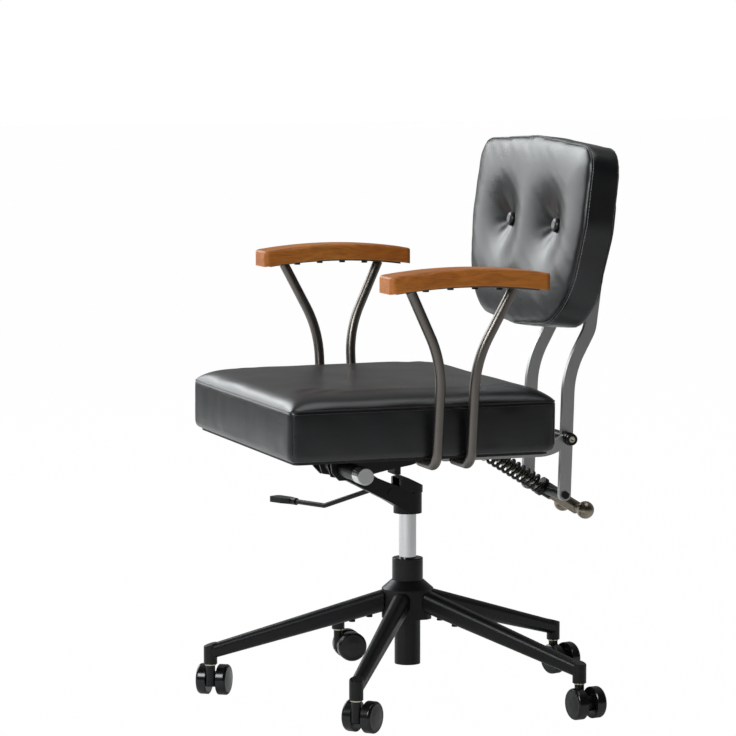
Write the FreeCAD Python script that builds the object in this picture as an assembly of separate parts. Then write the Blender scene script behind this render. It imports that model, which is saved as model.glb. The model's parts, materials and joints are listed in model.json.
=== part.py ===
import FreeCAD, Part
import math
import os

# Office chair on a five-leg swivel base, in millimetres and degrees.
# +Z is up, the chair faces -Y, +X is the sitter's left.
# The origin is on the floor, on the axis of the lift column.

# Base
LEG_COUNT = 5
FIRST_LEG_DEG = -106.6
CASTER_CIRCLE_R = 320.0
HUB_R = 42.0
HUB_FLAT = 37.5
HUB_BOTTOM = 128.0
HUB_SHOULDER = 176.0
HUB_TOP = 190.0
LEG_ROOT_TOP = 173.0
LEG_ROOT_HEIGHT = 36.0
LEG_ROOT_WIDTH = 29.0
LEG_TIP_TOP = 86.0
LEG_TIP_HEIGHT = 24.0
LEG_TIP_WIDTH = 21.5
LEG_ROUNDING = 0.42
SOCKET_R = 11.0
SOCKET_BOTTOM = 54.0
SOCKET_RISE = 0.4
SOCKET_ROUNDING = 1.0
LUG_LENGTH = 60.0
LUG_WIDTH = 13.0
LUG_HEIGHT = 17.0
LUG_GAP = 0.2
LEG_BITE = 6.0
LEG_SCREW_R = 3.0
LEG_SCREW_HEAD_R = 5.1
LEG_SCREW_HEAD = 5.0
LEG_SCREW_SINK = 1.8
LEG_SCREW_LENGTH = 19.0
LEG_SCREW_PLACES = (20.0, 48.0)

# Casters
WHEEL_R = 25.0
WHEEL_WIDTH = 18.0
WHEEL_GAP = 16.2
CASTER_WEB_R = 13.0
CASTER_TRAIL = 20.0
CASTER_TRAIL_DEG = (146.0, 132.0, 8.0, 16.0, 85.0)
AXLE_R = 4.0
STEM_R = 5.0
STEM_FLANGE_R = 9.0
STEM_FLANGE_THICK = 2.0
STEM_DEPTH = 18.0

# Lift column
COLUMN_R = 21.0
COLUMN_WALL = 3.0
COLUMN_FLOOR = 6.0
BEARING_R = 14.0
BEARING_HEIGHT = 4.0
COLUMN_BOTTOM = 52.0
COLUMN_TOP = 222.0
SHROUD_R = 25.0
SHROUD_LENGTH = 38.0
SHROUD_LIP = 4.0
SHROUD_ROUNDING = 1.5
GROOVE_DEPTH = 0.8
GROOVE_WIDTH = 1.2
BUSH_LENGTH = 72.0
CYLINDER_R = 14.0
CYLINDER_BOTTOM = 142.0
CYLINDER_WALL = 2.0
LIFT_ROD_R = 5.0
PISTON_Z = 200.0
PISTON_HEIGHT = 12.0
PIN_R = 4.0
PIN_DEPTH = 13.0
PIN_SHOW = 4.5

# Tilt mechanism
HEAD_BOTTOM = 299.0
HEAD_TOP = 333.0
HEAD_R = 23.0
TAPER_START = 4.0
TAPER_IN = 1.0
CHANNEL_HALF = 23.0
CHANNEL_WALL = 4.0
CHANNEL_DEPTH = 34.0
TILT_Y = -125.0
TILT_Z = 382.0
TILT_MAX_DEG = 8.0
TORSION_R = 13.0
TORSION_WALL = 3.0
TORSION_NEAR_X = 122.0
TORSION_FAR_X = -112.0
CAP_R = 14.0
CAP_NEAR_LENGTH = 26.0
CAP_FAR_LENGTH = 12.0
COVER_WALL = 3.5
COVER_TOP = 359.0

# Height lever
LEVER_R = 4.0
LEVER_WALL_Y = -50.0
LEVER_WALL_Z = 337.0
LEVER_BEND = (-115.0, -103.0, 299.5)
LEVER_TIP = (-203.0, -144.0, 299.5)
LEVER_BEND_R = 14.0
PADDLE_LENGTH = 46.0
PADDLE_WIDTH = 24.0
PADDLE_THICK = 9.0

# Seat
SEAT_HALF_WIDTH = 257.0
SEAT_FRONT = -286.5
SEAT_REAR = 158.5
SEAT_BOTTOM = 421.0
SEAT_SEAM = 503.0
SEAT_CROWN = 22.0
SEAT_FRONT_CORNER_R = 12.0
SEAT_REAR_CORNER_R = 20.0
BOARD_THICK = 12.0
BOARD_INSET = 12.0
BOARD_SHOW = 3.0
BRACKET_HALF = 49.0
BRACKET_PLATE = 4.0
CHEEK_THICK = 5.0
STOP_HALF = 5.0
STOP_GAP = 1.5

# Back supports and pivot
BAR_X = 77.0
BAR_THICK = 9.0
BAR_HALF_WIDTH = 10.0
ARM_BAR_THICK = 8.0
ARM_BAR_HALF = 10.0
ARM_BAR_Z = 402.0
PIVOT_Y = 244.5
PIVOT_Z = 419.5
PIVOT_R = 5.0
PIVOT_BUSH_R = 10.5
PIVOT_BUSH_LENGTH = 13.0
PIVOT_BUSH_STEP = 1.2
CROSS_TUBE_R = 9.0
TRUNNION_Y = 242.0
TRUNNION_Z = 326.5
TRUNNION_R = 9.0
TRUNNION_BOLT_R = 4.0
TRUNNION_BOLT_DEPTH = 28.0
TRUNNION_HEAD_R = 6.4
BAR_BEND_Y = 248.5
BAR_BEND_Z = 528.0
BAR_SLOPE_DEG = 28.3
BAR_TOP_Z = 775.0
BAR_STANDOFF = 4.0
BAR_BOSS_R = 4.4
BAR_BOSS_Z = (700.0, 765.0)

# Recline spring and its tension rod
ROD_SLOPE_DEG = 31.8
ROD_SPAN = 138.8
ROD_R = 5.0
ROD_EYE_R = 9.0
ROD_EYE_HALF = 6.0
CUP_R = 15.5
CUP_START = 14.0
CUP_THICK = 4.0
BOSS_FRONT = 12.0
BOSS_REAR = 10.0
SPRING_R = 12.4
SPRING_WIRE_R = 2.6
SPRING_TURNS = 10
NUT_R = 10.5
NUT_LENGTH = 59.0
TEE_PLACE = 59.5
TEE_HALF = 47.0
TEE_R = 5.0
BALL_R = 14.5
COLLAR_LOW_R = 5.6
COLLAR_HIGH_R = 9.0
COLLAR_REACH = 5.0

# Back cushion
BACK_LEAN_DEG = 7.5
BACK_SEAM_Y = 204.0
BACK_SEAM_Z = 765.0
BACK_DEPTH = 80.0
BACK_BOXING = 50.0
BACK_REAR_SHARE = 0.255
BACK_CROWN = 15.0
BACK_TOP = 897.0
BACK_BOTTOM = 590.0
BACK_HALF_TOP = 233.0
BACK_HALF_MID = 238.0
BACK_HALF_LOW = 207.0
BACK_CORNER_TOP_R = 46.0
BACK_CORNER_TOP_FRONT_R = 30.0
BACK_CORNER_LOW_R = 42.0
BACK_CORNER_LOW_FRONT_R = 96.0
BACK_SIDE_R = 200.0
BACK_BOTTOM_R = 300.0
BACK_TOP_R = 600.0
BACK_BOTTOM_SAG = 14.0
BACK_TOP_SAG = 9.0
BACK_BOARD_THICK = 8.0
BACK_BOARD_SHARE = 0.27
BUTTON_X = 94.7
BUTTON_Z = 757.0
BUTTON_R = 12.0
BUTTON_THICK = 6.0
TUFT_R = 72.0
TUFT_DEPTH = 38.0
TUFT_OVER = 0.5
TUFT_WAIST_R = 32.0
TUFT_WAIST_DEPTH = 14.0

# Arms
ARM_TUBE_R = 8.0
ARM_TUBE_WALL = 1.6
ARM_LEAN_DEG = 7.2
ARM_STANDOFF = 15.0
ARM_Z_LOW = 425.0
ARM_MID_Y = -25.0
ARM_HALF_LOW = 28.0
ARM_HALF_TOP = 84.0
ARM_CURVE_Z = 528.0
ARM_CURVE_R = 190.0
ARM_FOOT_REACH = 57.0
ARM_FOOT_BEND_R = 24.0
PAD_STANDOFF = 49.0
PAD_WIDTH = 59.0
PAD_LENGTH = 261.0
PAD_MID_Y = -21.0
PAD_THICK = 26.0
PAD_TOP = 717.5
PAD_ARCH = 10.0
PAD_CORNER_R = 9.0
PAD_EDGE_R = 4.0
STRAP_THICK = 3.0
STRAP_WIDTH = 30.0
STRAP_LENGTH = 232.0
SCREW_R = 2.5
SCREW_LENGTH = 17.0
SCREW_HEAD = 2.7

# Fits
RUN_FIT = 0.05
PRESS_FIT = 0.02
SIDE_GAP = 0.4
FREE_GAP = 0.7

# Values worked out from the sizes above
HUB_NECK_R = SHROUD_R + 1.0
BOARD_BOTTOM = SEAT_BOTTOM - BOARD_SHOW
ARM_FOOT_Z = BOARD_BOTTOM - ARM_TUBE_R
ARM_X_LOW = SEAT_HALF_WIDTH + ARM_STANDOFF
ARM_FOOT_X = SEAT_HALF_WIDTH - ARM_FOOT_REACH
PAD_X = SEAT_HALF_WIDTH + PAD_STANDOFF
BAR_INNER = BAR_X - BAR_THICK / 2
BAR_OUTER = BAR_X + BAR_THICK / 2
ARM_BAR_INNER = BAR_OUTER + SIDE_GAP * 1.25
ARM_BAR_OUTER = ARM_BAR_INNER + ARM_BAR_THICK
ROD_SLOPE = math.radians(ROD_SLOPE_DEG)
BACK_LEAN = math.radians(BACK_LEAN_DEG)
BACK_REAR_INSET = BACK_REAR_SHARE * (BACK_TOP - BACK_BOTTOM)
BACK_BOARD_INSET = BACK_BOARD_SHARE * (BACK_TOP - BACK_BOTTOM)
PIN_TOP = HEAD_TOP + PIN_SHOW
LEVER_TIP_Z = PIN_TOP + LEVER_R + FREE_GAP

Vector = FreeCAD.Vector
X_AXIS = Vector(1, 0, 0)
Y_AXIS = Vector(0, 1, 0)
Z_AXIS = Vector(0, 0, 1)
ROD_AXIS = Vector(0, math.cos(ROD_SLOPE), -math.sin(ROD_SLOPE))
TRUNNION = Vector(0, TRUNNION_Y, TRUNNION_Z)
ANCHOR = TRUNNION - ROD_AXIS * ROD_SPAN


def cylinder(radius, start, axis, length):
    return Part.makeCylinder(radius, length, start, axis)


def ring(outer, inner, start, axis, length):
    return cylinder(outer, start, axis, length).cut(cylinder(inner, start, axis, length))


def block(x0, x1, y0, y1, z0, z1):
    return Part.makeBox(x1 - x0, y1 - y0, z1 - z0, Vector(x0, y0, z0))


def join(shapes):
    first = shapes[0]
    return first.fuse(shapes[1:]).removeSplitter()


def turned(shape, degrees):
    moved = shape.copy()
    moved.rotate(Vector(0, 0, 0), Z_AXIS, degrees)
    return moved


def mirrored(shape):
    return shape.mirror(Vector(0, 0, 0), X_AXIS)


def save(name, shape):
    shape.exportStep("parts/" + name + ".step")


def rounded_polygon(points, radii):
    """Corner points to a list of straight and arc pieces, each corner with its own radius."""
    count = len(points)
    pieces = []
    joints = []
    for k in range(count):
        corner = points[k]
        before = (points[k - 1] - corner).normalize()
        after = (points[(k + 1) % count] - corner).normalize()
        half = before.getAngle(after) / 2
        reach = radii[k] / math.tan(half)
        inward = (before + after).normalize()
        middle = corner + inward * (radii[k] / math.sin(half) - radii[k])
        joints.append((corner + before * reach, middle, corner + after * reach))
    for k in range(count):
        start, middle, end = joints[k]
        following = joints[(k + 1) % count][0]
        pieces.append(Part.Arc(start, middle, end).toShape())
        pieces.append(Part.LineSegment(end, following).toShape())
    return Part.Wire(pieces)


def plain_polygon(points):
    return Part.makePolygon(points + [points[0]])


def side_points(pairs, x):
    return [Vector(x, y, z) for y, z in pairs]


def side_plate(pairs, x0, x1, radii=None):
    """Outline in Y and Z, pushed along X from x0 to x1."""
    points = side_points(pairs, x0)
    wire = rounded_polygon(points, radii) if radii else plain_polygon(points)
    return Part.Face(wire).extrude(Vector(x1 - x0, 0, 0))


def flat_bar(path, bend_radii, half_width, x0, x1):
    """Flat bar bent on edge along a path in Y and Z, with round ends."""
    count = len(path)
    headings = []
    for k in range(count - 1):
        dy = path[k + 1][0] - path[k][0]
        dz = path[k + 1][1] - path[k][1]
        length = math.hypot(dy, dz)
        headings.append((dy / length, dz / length))
    sides = {1: [], -1: []}
    for side in (1, -1):
        for k in range(count):
            first = headings[max(k - 1, 0)]
            last = headings[min(k, count - 2)]
            normal_y = -(first[1] + last[1])
            normal_z = first[0] + last[0]
            scale = 1 + first[0] * last[0] + first[1] * last[1]
            step = side * half_width / scale
            y = path[k][0] + normal_y * step
            z = path[k][1] + normal_z * step
            if k == 0:
                y -= headings[0][0] * half_width
                z -= headings[0][1] * half_width
            if k == count - 1:
                y += headings[-1][0] * half_width
                z += headings[-1][1] * half_width
            sides[side].append((y, z))
    end_radius = half_width * 0.995
    radii = {1: [end_radius], -1: [end_radius]}
    for k in range(1, count - 1):
        cross = headings[k - 1][0] * headings[k][1] - headings[k - 1][1] * headings[k][0]
        turn = 1 if cross > 0 else -1
        radii[1].append(bend_radii[k - 1] - turn * half_width)
        radii[-1].append(bend_radii[k - 1] + turn * half_width)
    radii[1].append(end_radius)
    radii[-1].append(end_radius)
    outline = sides[1] + sides[-1][::-1]
    return side_plate(outline, x0, x1, radii[1] + radii[-1][::-1])


def bent_path(points, radii):
    """Straight runs through the points, with a tangent arc at each inner point."""
    pieces = []
    start = points[0]
    for k in range(1, len(points) - 1):
        corner = points[k]
        before = (points[k - 1] - corner).normalize()
        after = (points[k + 1] - corner).normalize()
        half = before.getAngle(after) / 2
        reach = radii[k - 1] / math.tan(half)
        inward = (before + after).normalize()
        middle = corner + inward * (radii[k - 1] / math.sin(half) - radii[k - 1])
        enter = corner + before * reach
        leave = corner + after * reach
        pieces.append(Part.LineSegment(start, enter).toShape())
        pieces.append(Part.Arc(enter, middle, leave).toShape())
        start = leave
    pieces.append(Part.LineSegment(start, points[-1]).toShape())
    return Part.Wire(pieces)


def swept(path, radius, start, heading):
    circle = Part.Wire([Part.makeCircle(radius, start, heading)])
    return path.makePipeShell([circle], True, False)


# Base

def leg_centre(distance):
    """Height of a leg's middle line and its half height at a distance from the column."""
    share = (distance - HUB_R) / (CASTER_CIRCLE_R - HUB_R)
    height = LEG_ROOT_HEIGHT + share * (LEG_TIP_HEIGHT - LEG_ROOT_HEIGHT)
    top = LEG_ROOT_TOP + share * (LEG_TIP_TOP - LEG_ROOT_TOP)
    return top - height / 2, height / 2


def leg_section(distance, half_width, half_height, corner):
    middle = leg_centre(distance)[0]
    points = [
        Vector(distance, -half_width, middle - half_height),
        Vector(distance, half_width, middle - half_height),
        Vector(distance, half_width, middle + half_height),
        Vector(distance, -half_width, middle + half_height),
    ]
    return rounded_polygon(points, [corner] * 4)


def leg_lug(spare):
    start = HUB_R - LEG_BITE
    end = HUB_R + LUG_LENGTH + spare
    half_width = LUG_WIDTH / 2 + spare
    half_height = LUG_HEIGHT / 2 + spare
    sections = [leg_section(place, half_width, half_height, 2.0) for place in (start, end)]
    return Part.makeLoft(sections, True, True)


def leg_screw_seat(place):
    distance = HUB_R + place
    middle, half_height = leg_centre(distance)
    return Vector(distance, 0, middle - half_height + LEG_SCREW_SINK)


def leg_screw():
    shapes = []
    for place in LEG_SCREW_PLACES:
        seat = leg_screw_seat(place)
        head = cylinder(LEG_SCREW_HEAD_R, seat, -Z_AXIS, LEG_SCREW_HEAD)
        shank = cylinder(LEG_SCREW_R, seat, Z_AXIS, LEG_SCREW_LENGTH)
        shapes.append(join([head, shank]))
    return shapes


def leg_socket(foot):
    """Upright socket at the leg's end, mitred along the slope of the leg's top."""
    inner = CASTER_CIRCLE_R - SOCKET_R - 1.0
    outer = CASTER_CIRCLE_R + SOCKET_R + 1.0
    outline = [Vector(inner, 0, SOCKET_BOTTOM), Vector(outer, 0, SOCKET_BOTTOM)]
    for distance in (outer, inner):
        middle, half_height = leg_centre(distance)
        outline.append(Vector(distance, 0, middle + half_height + SOCKET_RISE))
    mitre = Part.Face(plain_polygon(outline)).extrude(Y_AXIS * (4 * SOCKET_R))
    mitre.translate(Y_AXIS * (-2 * SOCKET_R))
    socket = cylinder(SOCKET_R, foot, Z_AXIS, LEG_ROOT_TOP - SOCKET_BOTTOM).common(mitre)
    rim = [edge for edge in socket.Edges if edge.Closed and edge.CenterOfMass.z > SOCKET_BOTTOM + SOCKET_R]
    return socket.makeFillet(SOCKET_ROUNDING, rim[:1])


def leg():
    root_corner = LEG_ROUNDING * min(LEG_ROOT_WIDTH, LEG_ROOT_HEIGHT)
    tip_corner = LEG_ROUNDING * min(LEG_TIP_WIDTH, LEG_TIP_HEIGHT)
    root = leg_section(HUB_R - LEG_BITE, LEG_ROOT_WIDTH / 2, LEG_ROOT_HEIGHT / 2, root_corner)
    tip = leg_section(CASTER_CIRCLE_R, LEG_TIP_WIDTH / 2, LEG_TIP_HEIGHT / 2, tip_corner)
    beam = Part.makeLoft([root, tip], True, True)
    foot = Vector(CASTER_CIRCLE_R, 0, SOCKET_BOTTOM)
    shape = join([beam, leg_socket(foot)])
    hub_wall = cylinder(HUB_R, Vector(0, 0, HUB_BOTTOM - 30.0), Z_AXIS, HUB_TOP - HUB_BOTTOM + 60.0)
    shape = shape.cut(hub_wall)
    shape = shape.cut(leg_lug(LUG_GAP))
    shape = shape.cut(cylinder(STEM_R + PRESS_FIT, foot, Z_AXIS, STEM_DEPTH + 1.0))
    for place in LEG_SCREW_PLACES:
        seat = leg_screw_seat(place)
        shape = shape.cut(cylinder(LEG_SCREW_HEAD_R + SIDE_GAP, seat, -Z_AXIS, LEG_SCREW_HEAD * 2))
        shape = shape.cut(cylinder(LEG_SCREW_R + PRESS_FIT, seat, Z_AXIS, LEG_SCREW_LENGTH + 1.0))
    return shape


def hub_flats():
    """Prism with one flat side midway between each two legs."""
    step = 360.0 / LEG_COUNT
    corner_r = HUB_FLAT / math.cos(math.radians(step / 2))
    corners = []
    for k in range(LEG_COUNT):
        angle = math.radians(FIRST_LEG_DEG + k * step)
        corners.append(Vector(corner_r * math.cos(angle), corner_r * math.sin(angle), HUB_BOTTOM))
    return Part.Face(plain_polygon(corners)).extrude(Z_AXIS * (HUB_SHOULDER - HUB_BOTTOM))


def base_hub():
    wall = cylinder(HUB_R, Vector(0, 0, HUB_BOTTOM), Z_AXIS, HUB_SHOULDER - HUB_BOTTOM).common(hub_flats())
    neck_height = HUB_TOP - HUB_SHOULDER
    cone = Part.makeCone(HUB_R, HUB_NECK_R, neck_height, Vector(0, 0, HUB_SHOULDER), Z_AXIS)
    shapes = [wall, cone]
    for k in range(LEG_COUNT):
        shapes.append(turned(leg_lug(0.0), FIRST_LEG_DEG + k * 360.0 / LEG_COUNT))
    shape = join(shapes)
    bore_length = HUB_TOP - HUB_BOTTOM
    shape = shape.cut(cylinder(COLUMN_R + PRESS_FIT, Vector(0, 0, HUB_BOTTOM), Z_AXIS, bore_length))
    shroud_low = COLUMN_TOP - SHROUD_LENGTH
    shape = shape.cut(cylinder(SHROUD_R + PRESS_FIT, Vector(0, 0, shroud_low), Z_AXIS, bore_length))
    for k in range(LEG_COUNT):
        angle = FIRST_LEG_DEG + k * 360.0 / LEG_COUNT
        for place in LEG_SCREW_PLACES:
            hole = cylinder(LEG_SCREW_R + PRESS_FIT, leg_screw_seat(place), Z_AXIS, LEG_SCREW_LENGTH + 1.0)
            shape = shape.cut(turned(hole, angle))
    return shape


def caster_stem():
    foot = Vector(CASTER_CIRCLE_R, 0, SOCKET_BOTTOM)
    flange_low = foot - Z_AXIS * STEM_FLANGE_THICK
    flange = cylinder(STEM_FLANGE_R, flange_low, Z_AXIS, STEM_FLANGE_THICK)
    pin = cylinder(STEM_R, foot - Z_AXIS * STEM_DEPTH, Z_AXIS, STEM_DEPTH * 2)
    return join([flange, pin])


def column_tube():
    height = COLUMN_TOP - COLUMN_BOTTOM
    shape = cylinder(COLUMN_R, Vector(0, 0, COLUMN_BOTTOM), Z_AXIS, height)
    floor = COLUMN_BOTTOM + COLUMN_FLOOR
    hollow = cylinder(COLUMN_R - COLUMN_WALL, Vector(0, 0, floor), Z_AXIS, height)
    rod_hole = cylinder(LIFT_ROD_R + RUN_FIT, Vector(0, 0, COLUMN_BOTTOM), Z_AXIS, height)
    return shape.cut(hollow).cut(rod_hole)


def column_bush():
    """Moulded bush inside the tube's top, with a shroud turned down over the outside."""
    top = COLUMN_TOP + SHROUD_LIP
    liner_r = COLUMN_R - COLUMN_WALL - PRESS_FIT
    liner = cylinder(liner_r, Vector(0, 0, COLUMN_TOP - BUSH_LENGTH), Z_AXIS, BUSH_LENGTH)
    shroud_low = Vector(0, 0, COLUMN_TOP - SHROUD_LENGTH)
    shroud = ring(SHROUD_R, COLUMN_R + PRESS_FIT, shroud_low, Z_AXIS, SHROUD_LENGTH)
    cap = cylinder(SHROUD_R, Vector(0, 0, COLUMN_TOP), Z_AXIS, SHROUD_LIP)
    rim = [edge for edge in cap.Edges if edge.BoundBox.ZMin > top - 0.1]
    cap = cap.makeFillet(SHROUD_ROUNDING, rim[:1])
    groove_low = Vector(0, 0, COLUMN_TOP - GROOVE_WIDTH * 2)
    groove = ring(SHROUD_R + 1.0, SHROUD_R - GROOVE_DEPTH, groove_low, Z_AXIS, GROOVE_WIDTH)
    shape = join([liner, shroud, cap]).cut(groove)
    return shape.cut(cylinder(CYLINDER_R + RUN_FIT, Vector(0, 0, 0), Z_AXIS, top + 1.0))


def thrust_bearing():
    floor = Vector(0, 0, COLUMN_BOTTOM + COLUMN_FLOOR)
    return ring(BEARING_R, LIFT_ROD_R + RUN_FIT, floor, Z_AXIS, BEARING_HEIGHT)


# Casters, built with the stem at the local origin and the wheels trailing along +X

def caster_hood():
    axle_end = WHEEL_GAP / 2 - 0.5
    centre = Vector(CASTER_TRAIL, -axle_end, WHEEL_R)
    web = cylinder(CASTER_WEB_R, centre, Y_AXIS, 2 * axle_end)
    top = SOCKET_BOTTOM - STEM_FLANGE_THICK - 0.3
    neck = cylinder(axle_end, Vector(0, 0, WHEEL_R - 6.0), Z_AXIS, top - WHEEL_R + 6.0)
    bridge = block(0, CASTER_TRAIL, -axle_end, axle_end, WHEEL_R - 6.0, WHEEL_R + CASTER_WEB_R)
    shape = join([web, neck, bridge])
    shape = shape.cut(cylinder(AXLE_R + RUN_FIT, centre, Y_AXIS, 2 * axle_end))
    low = SOCKET_BOTTOM - STEM_DEPTH - 1.0
    return shape.cut(cylinder(STEM_R + RUN_FIT, Vector(0, 0, low), Z_AXIS, top))


def caster_wheel():
    inner = WHEEL_GAP / 2
    outer = inner + WHEEL_WIDTH
    bore = AXLE_R + PRESS_FIT
    shoulder = Vector(0, outer - 6.0, WHEEL_R)
    bulge = Vector(0, outer - 1.9, WHEEL_R - 1.7)
    face = Vector(0, outer - 1.0, WHEEL_R - 6.0)
    points = [
        Vector(0, outer, 8.0),
        Vector(0, outer, 0),
        Vector(0, outer - 5.0, 0),
        Vector(0, outer - 5.0, bore),
        Vector(0, inner, bore),
        Vector(0, inner, WHEEL_R - 1.0),
        Vector(0, inner + 1.0, WHEEL_R),
    ]
    pieces = [Part.Arc(shoulder, bulge, face).toShape()]
    outline = [face] + points + [shoulder]
    for first, second in zip(outline, outline[1:]):
        pieces.append(Part.LineSegment(first, second).toShape())
    profile = Part.Face(Part.Wire(pieces))
    wheel = profile.revolve(Vector(0, 0, 0), Y_AXIS, 360)
    wheel.translate(Vector(CASTER_TRAIL, 0, WHEEL_R))
    return wheel


def caster_wheels():
    wheel = caster_wheel()
    other = wheel.mirror(Vector(0, 0, 0), Y_AXIS)
    reach = WHEEL_GAP / 2 + WHEEL_WIDTH - 5.0
    axle = cylinder(AXLE_R, Vector(CASTER_TRAIL, -reach, WHEEL_R), Y_AXIS, 2 * reach)
    return Part.makeCompound([wheel, other, axle])


def caster_placed(shape, number):
    moved = turned(shape, CASTER_TRAIL_DEG[number])
    angle = math.radians(FIRST_LEG_DEG + number * 360.0 / LEG_COUNT)
    moved.translate(Vector(math.cos(angle), math.sin(angle), 0) * CASTER_CIRCLE_R)
    return moved


# Lift

def lift_rod():
    rod_low = COLUMN_BOTTOM - 2.0
    rod = cylinder(LIFT_ROD_R, Vector(0, 0, rod_low), Z_AXIS, PISTON_Z - rod_low + 1.0)
    bearing_top = COLUMN_BOTTOM + COLUMN_FLOOR + BEARING_HEIGHT
    shoulder = cylinder(LIFT_ROD_R * 2, Vector(0, 0, bearing_top), Z_AXIS, BEARING_HEIGHT)
    piston_r = CYLINDER_R - CYLINDER_WALL - RUN_FIT
    piston = cylinder(piston_r, Vector(0, 0, PISTON_Z), Z_AXIS, PISTON_HEIGHT)
    clip = cylinder(LIFT_ROD_R + 2.5, Vector(0, 0, COLUMN_BOTTOM - 1.5), Z_AXIS, 1.2)
    return join([rod, shoulder, piston, clip])


def gas_cylinder():
    straight = HEAD_BOTTOM + TAPER_START
    body = cylinder(CYLINDER_R, Vector(0, 0, CYLINDER_BOTTOM), Z_AXIS, straight - CYLINDER_BOTTOM)
    taper = Part.makeCone(CYLINDER_R, CYLINDER_R - TAPER_IN, HEAD_TOP - straight, Vector(0, 0, straight), Z_AXIS)
    shape = join([body, taper])
    low = CYLINDER_BOTTOM + 8.0
    hollow = cylinder(CYLINDER_R - CYLINDER_WALL, Vector(0, 0, low), Z_AXIS, straight - low)
    rod_hole = cylinder(LIFT_ROD_R + RUN_FIT, Vector(0, 0, CYLINDER_BOTTOM), Z_AXIS, 20.0)
    pin_hole = cylinder(PIN_R + RUN_FIT, Vector(0, 0, HEAD_TOP - PIN_DEPTH - 5.0), Z_AXIS, PIN_DEPTH * 2)
    return shape.cut(hollow).cut(rod_hole).cut(pin_hole)


def release_pin():
    return cylinder(PIN_R, Vector(0, 0, HEAD_TOP - PIN_DEPTH), Z_AXIS, PIN_SHOW + PIN_DEPTH)


# Tilt mechanism

def channel_edge(y):
    """Height of the channel's upper edge, which climbs from the head to the torsion tube."""
    start_y = 5.0
    share = (start_y - y) / (start_y - TILT_Y)
    return HEAD_TOP + share * (TILT_Z + 7.0 - HEAD_TOP)


def tilt_channel():
    low_edge = [
        (0.0, HEAD_BOTTOM + 2.0),
        (-6.0, HEAD_BOTTOM + 2.0),
        (-37.0, HEAD_BOTTOM + 21.0),
        (TILT_Y + 8.0, TILT_Z - TORSION_R - 7.0),
    ]
    nose = [
        (TILT_Y - 14.0, TILT_Z - TORSION_R - 3.0),
        (TILT_Y - 20.0, TILT_Z + 2.0),
        (TILT_Y - 14.0, TILT_Z + 15.0),
        (TILT_Y + 10.0, TILT_Z + 17.0),
        (-60.0, channel_edge(-60.0)),
        (0.0, channel_edge(0.0)),
    ]
    inner = CHANNEL_HALF - CHANNEL_WALL
    plate = side_plate(low_edge + nose, inner, CHANNEL_HALF)
    lifted = [(y, z + CHANNEL_WALL) for y, z in low_edge]
    web = side_plate(low_edge + lifted[::-1], -inner, inner)
    head = cylinder(HEAD_R, Vector(0, 0, HEAD_BOTTOM), Z_AXIS, HEAD_TOP - HEAD_BOTTOM)
    boss_y = -37.0
    boss = cylinder(5.0, Vector(CHANNEL_HALF, boss_y, channel_edge(boss_y) - 15.0), X_AXIS, 2.0)
    shape = join([plate, mirrored(plate), web, head, boss])
    straight = HEAD_BOTTOM + TAPER_START
    shape = shape.cut(cylinder(CYLINDER_R + PRESS_FIT, Vector(0, 0, HEAD_BOTTOM), Z_AXIS, TAPER_START))
    taper_r = CYLINDER_R + PRESS_FIT
    taper = Part.makeCone(taper_r, taper_r - TAPER_IN, HEAD_TOP - straight, Vector(0, 0, straight), Z_AXIS)
    shape = shape.cut(taper)
    tube_start = Vector(-CHANNEL_HALF - 1.0, TILT_Y, TILT_Z)
    shape = shape.cut(cylinder(TORSION_R + PRESS_FIT, tube_start, X_AXIS, 2 * CHANNEL_HALF + 2.0))
    slot_y = (LEVER_WALL_Y - 12.0, LEVER_WALL_Y + 20.0)
    slot_z = (LEVER_WALL_Z - LEVER_R - 3.5, LEVER_WALL_Z + LEVER_R + 4.0)
    slot = block(-CHANNEL_HALF - 1.0, -inner + 1.0, slot_y[0], slot_y[1], slot_z[0], slot_z[1])
    return shape.cut(slot)


def mechanism_cover():
    """Moulded cover over the head of the column, open below and in front for the lever."""
    front = -20.0
    rear = HEAD_R + 1.5
    gap = 0.1
    outline = [
        (front, channel_edge(front) + gap),
        (front, COVER_TOP - 3.0),
        (-8.0, COVER_TOP),
        (rear, HEAD_TOP + 10.0),
        (rear, HEAD_TOP + gap),
        (5.0, HEAD_TOP + gap),
    ]
    shell = side_plate(outline, -CHANNEL_HALF, CHANNEL_HALF)
    inside = [
        (front - 1.0, HEAD_TOP - 1.0),
        (front - 1.0, COVER_TOP - 2.5),
        (-8.0, COVER_TOP - 3.0),
        (rear - 12.0, HEAD_TOP + 8.0),
        (rear - 12.0, HEAD_TOP - 1.0),
    ]
    rounded_end = cylinder(rear, Vector(0, 0, HEAD_TOP), Z_AXIS, COVER_TOP - HEAD_TOP)
    straight_part = block(-CHANNEL_HALF, CHANNEL_HALF, front, 0, HEAD_TOP, COVER_TOP)
    shell = shell.common(join([rounded_end, straight_part]))
    half = CHANNEL_HALF - CHANNEL_WALL - COVER_WALL
    return shell.cut(side_plate(inside, -half, half))


def torsion_tube():
    start = Vector(TORSION_FAR_X, TILT_Y, TILT_Z)
    return ring(TORSION_R, TORSION_R - TORSION_WALL, start, X_AXIS, TORSION_NEAR_X - TORSION_FAR_X)


def torsion_cap(x, heading, length):
    face = Vector(x, TILT_Y, TILT_Z)
    disc = cylinder(CAP_R, face, heading, length)
    rim = [edge for edge in disc.Edges if abs(edge.CenterOfMass.x - x) > length - 0.1 and edge.Closed]
    disc = disc.makeFillet(1.2, rim[:1])
    spigot = cylinder(TORSION_R - TORSION_WALL - PRESS_FIT, face, -heading, 14.0)
    return join([disc, spigot])


def lever_points():
    return [
        Vector(0, 0, LEVER_TIP_Z),
        Vector(-CHANNEL_HALF, LEVER_WALL_Y, LEVER_WALL_Z),
        Vector(*LEVER_BEND),
        Vector(*LEVER_TIP),
    ]


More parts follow.
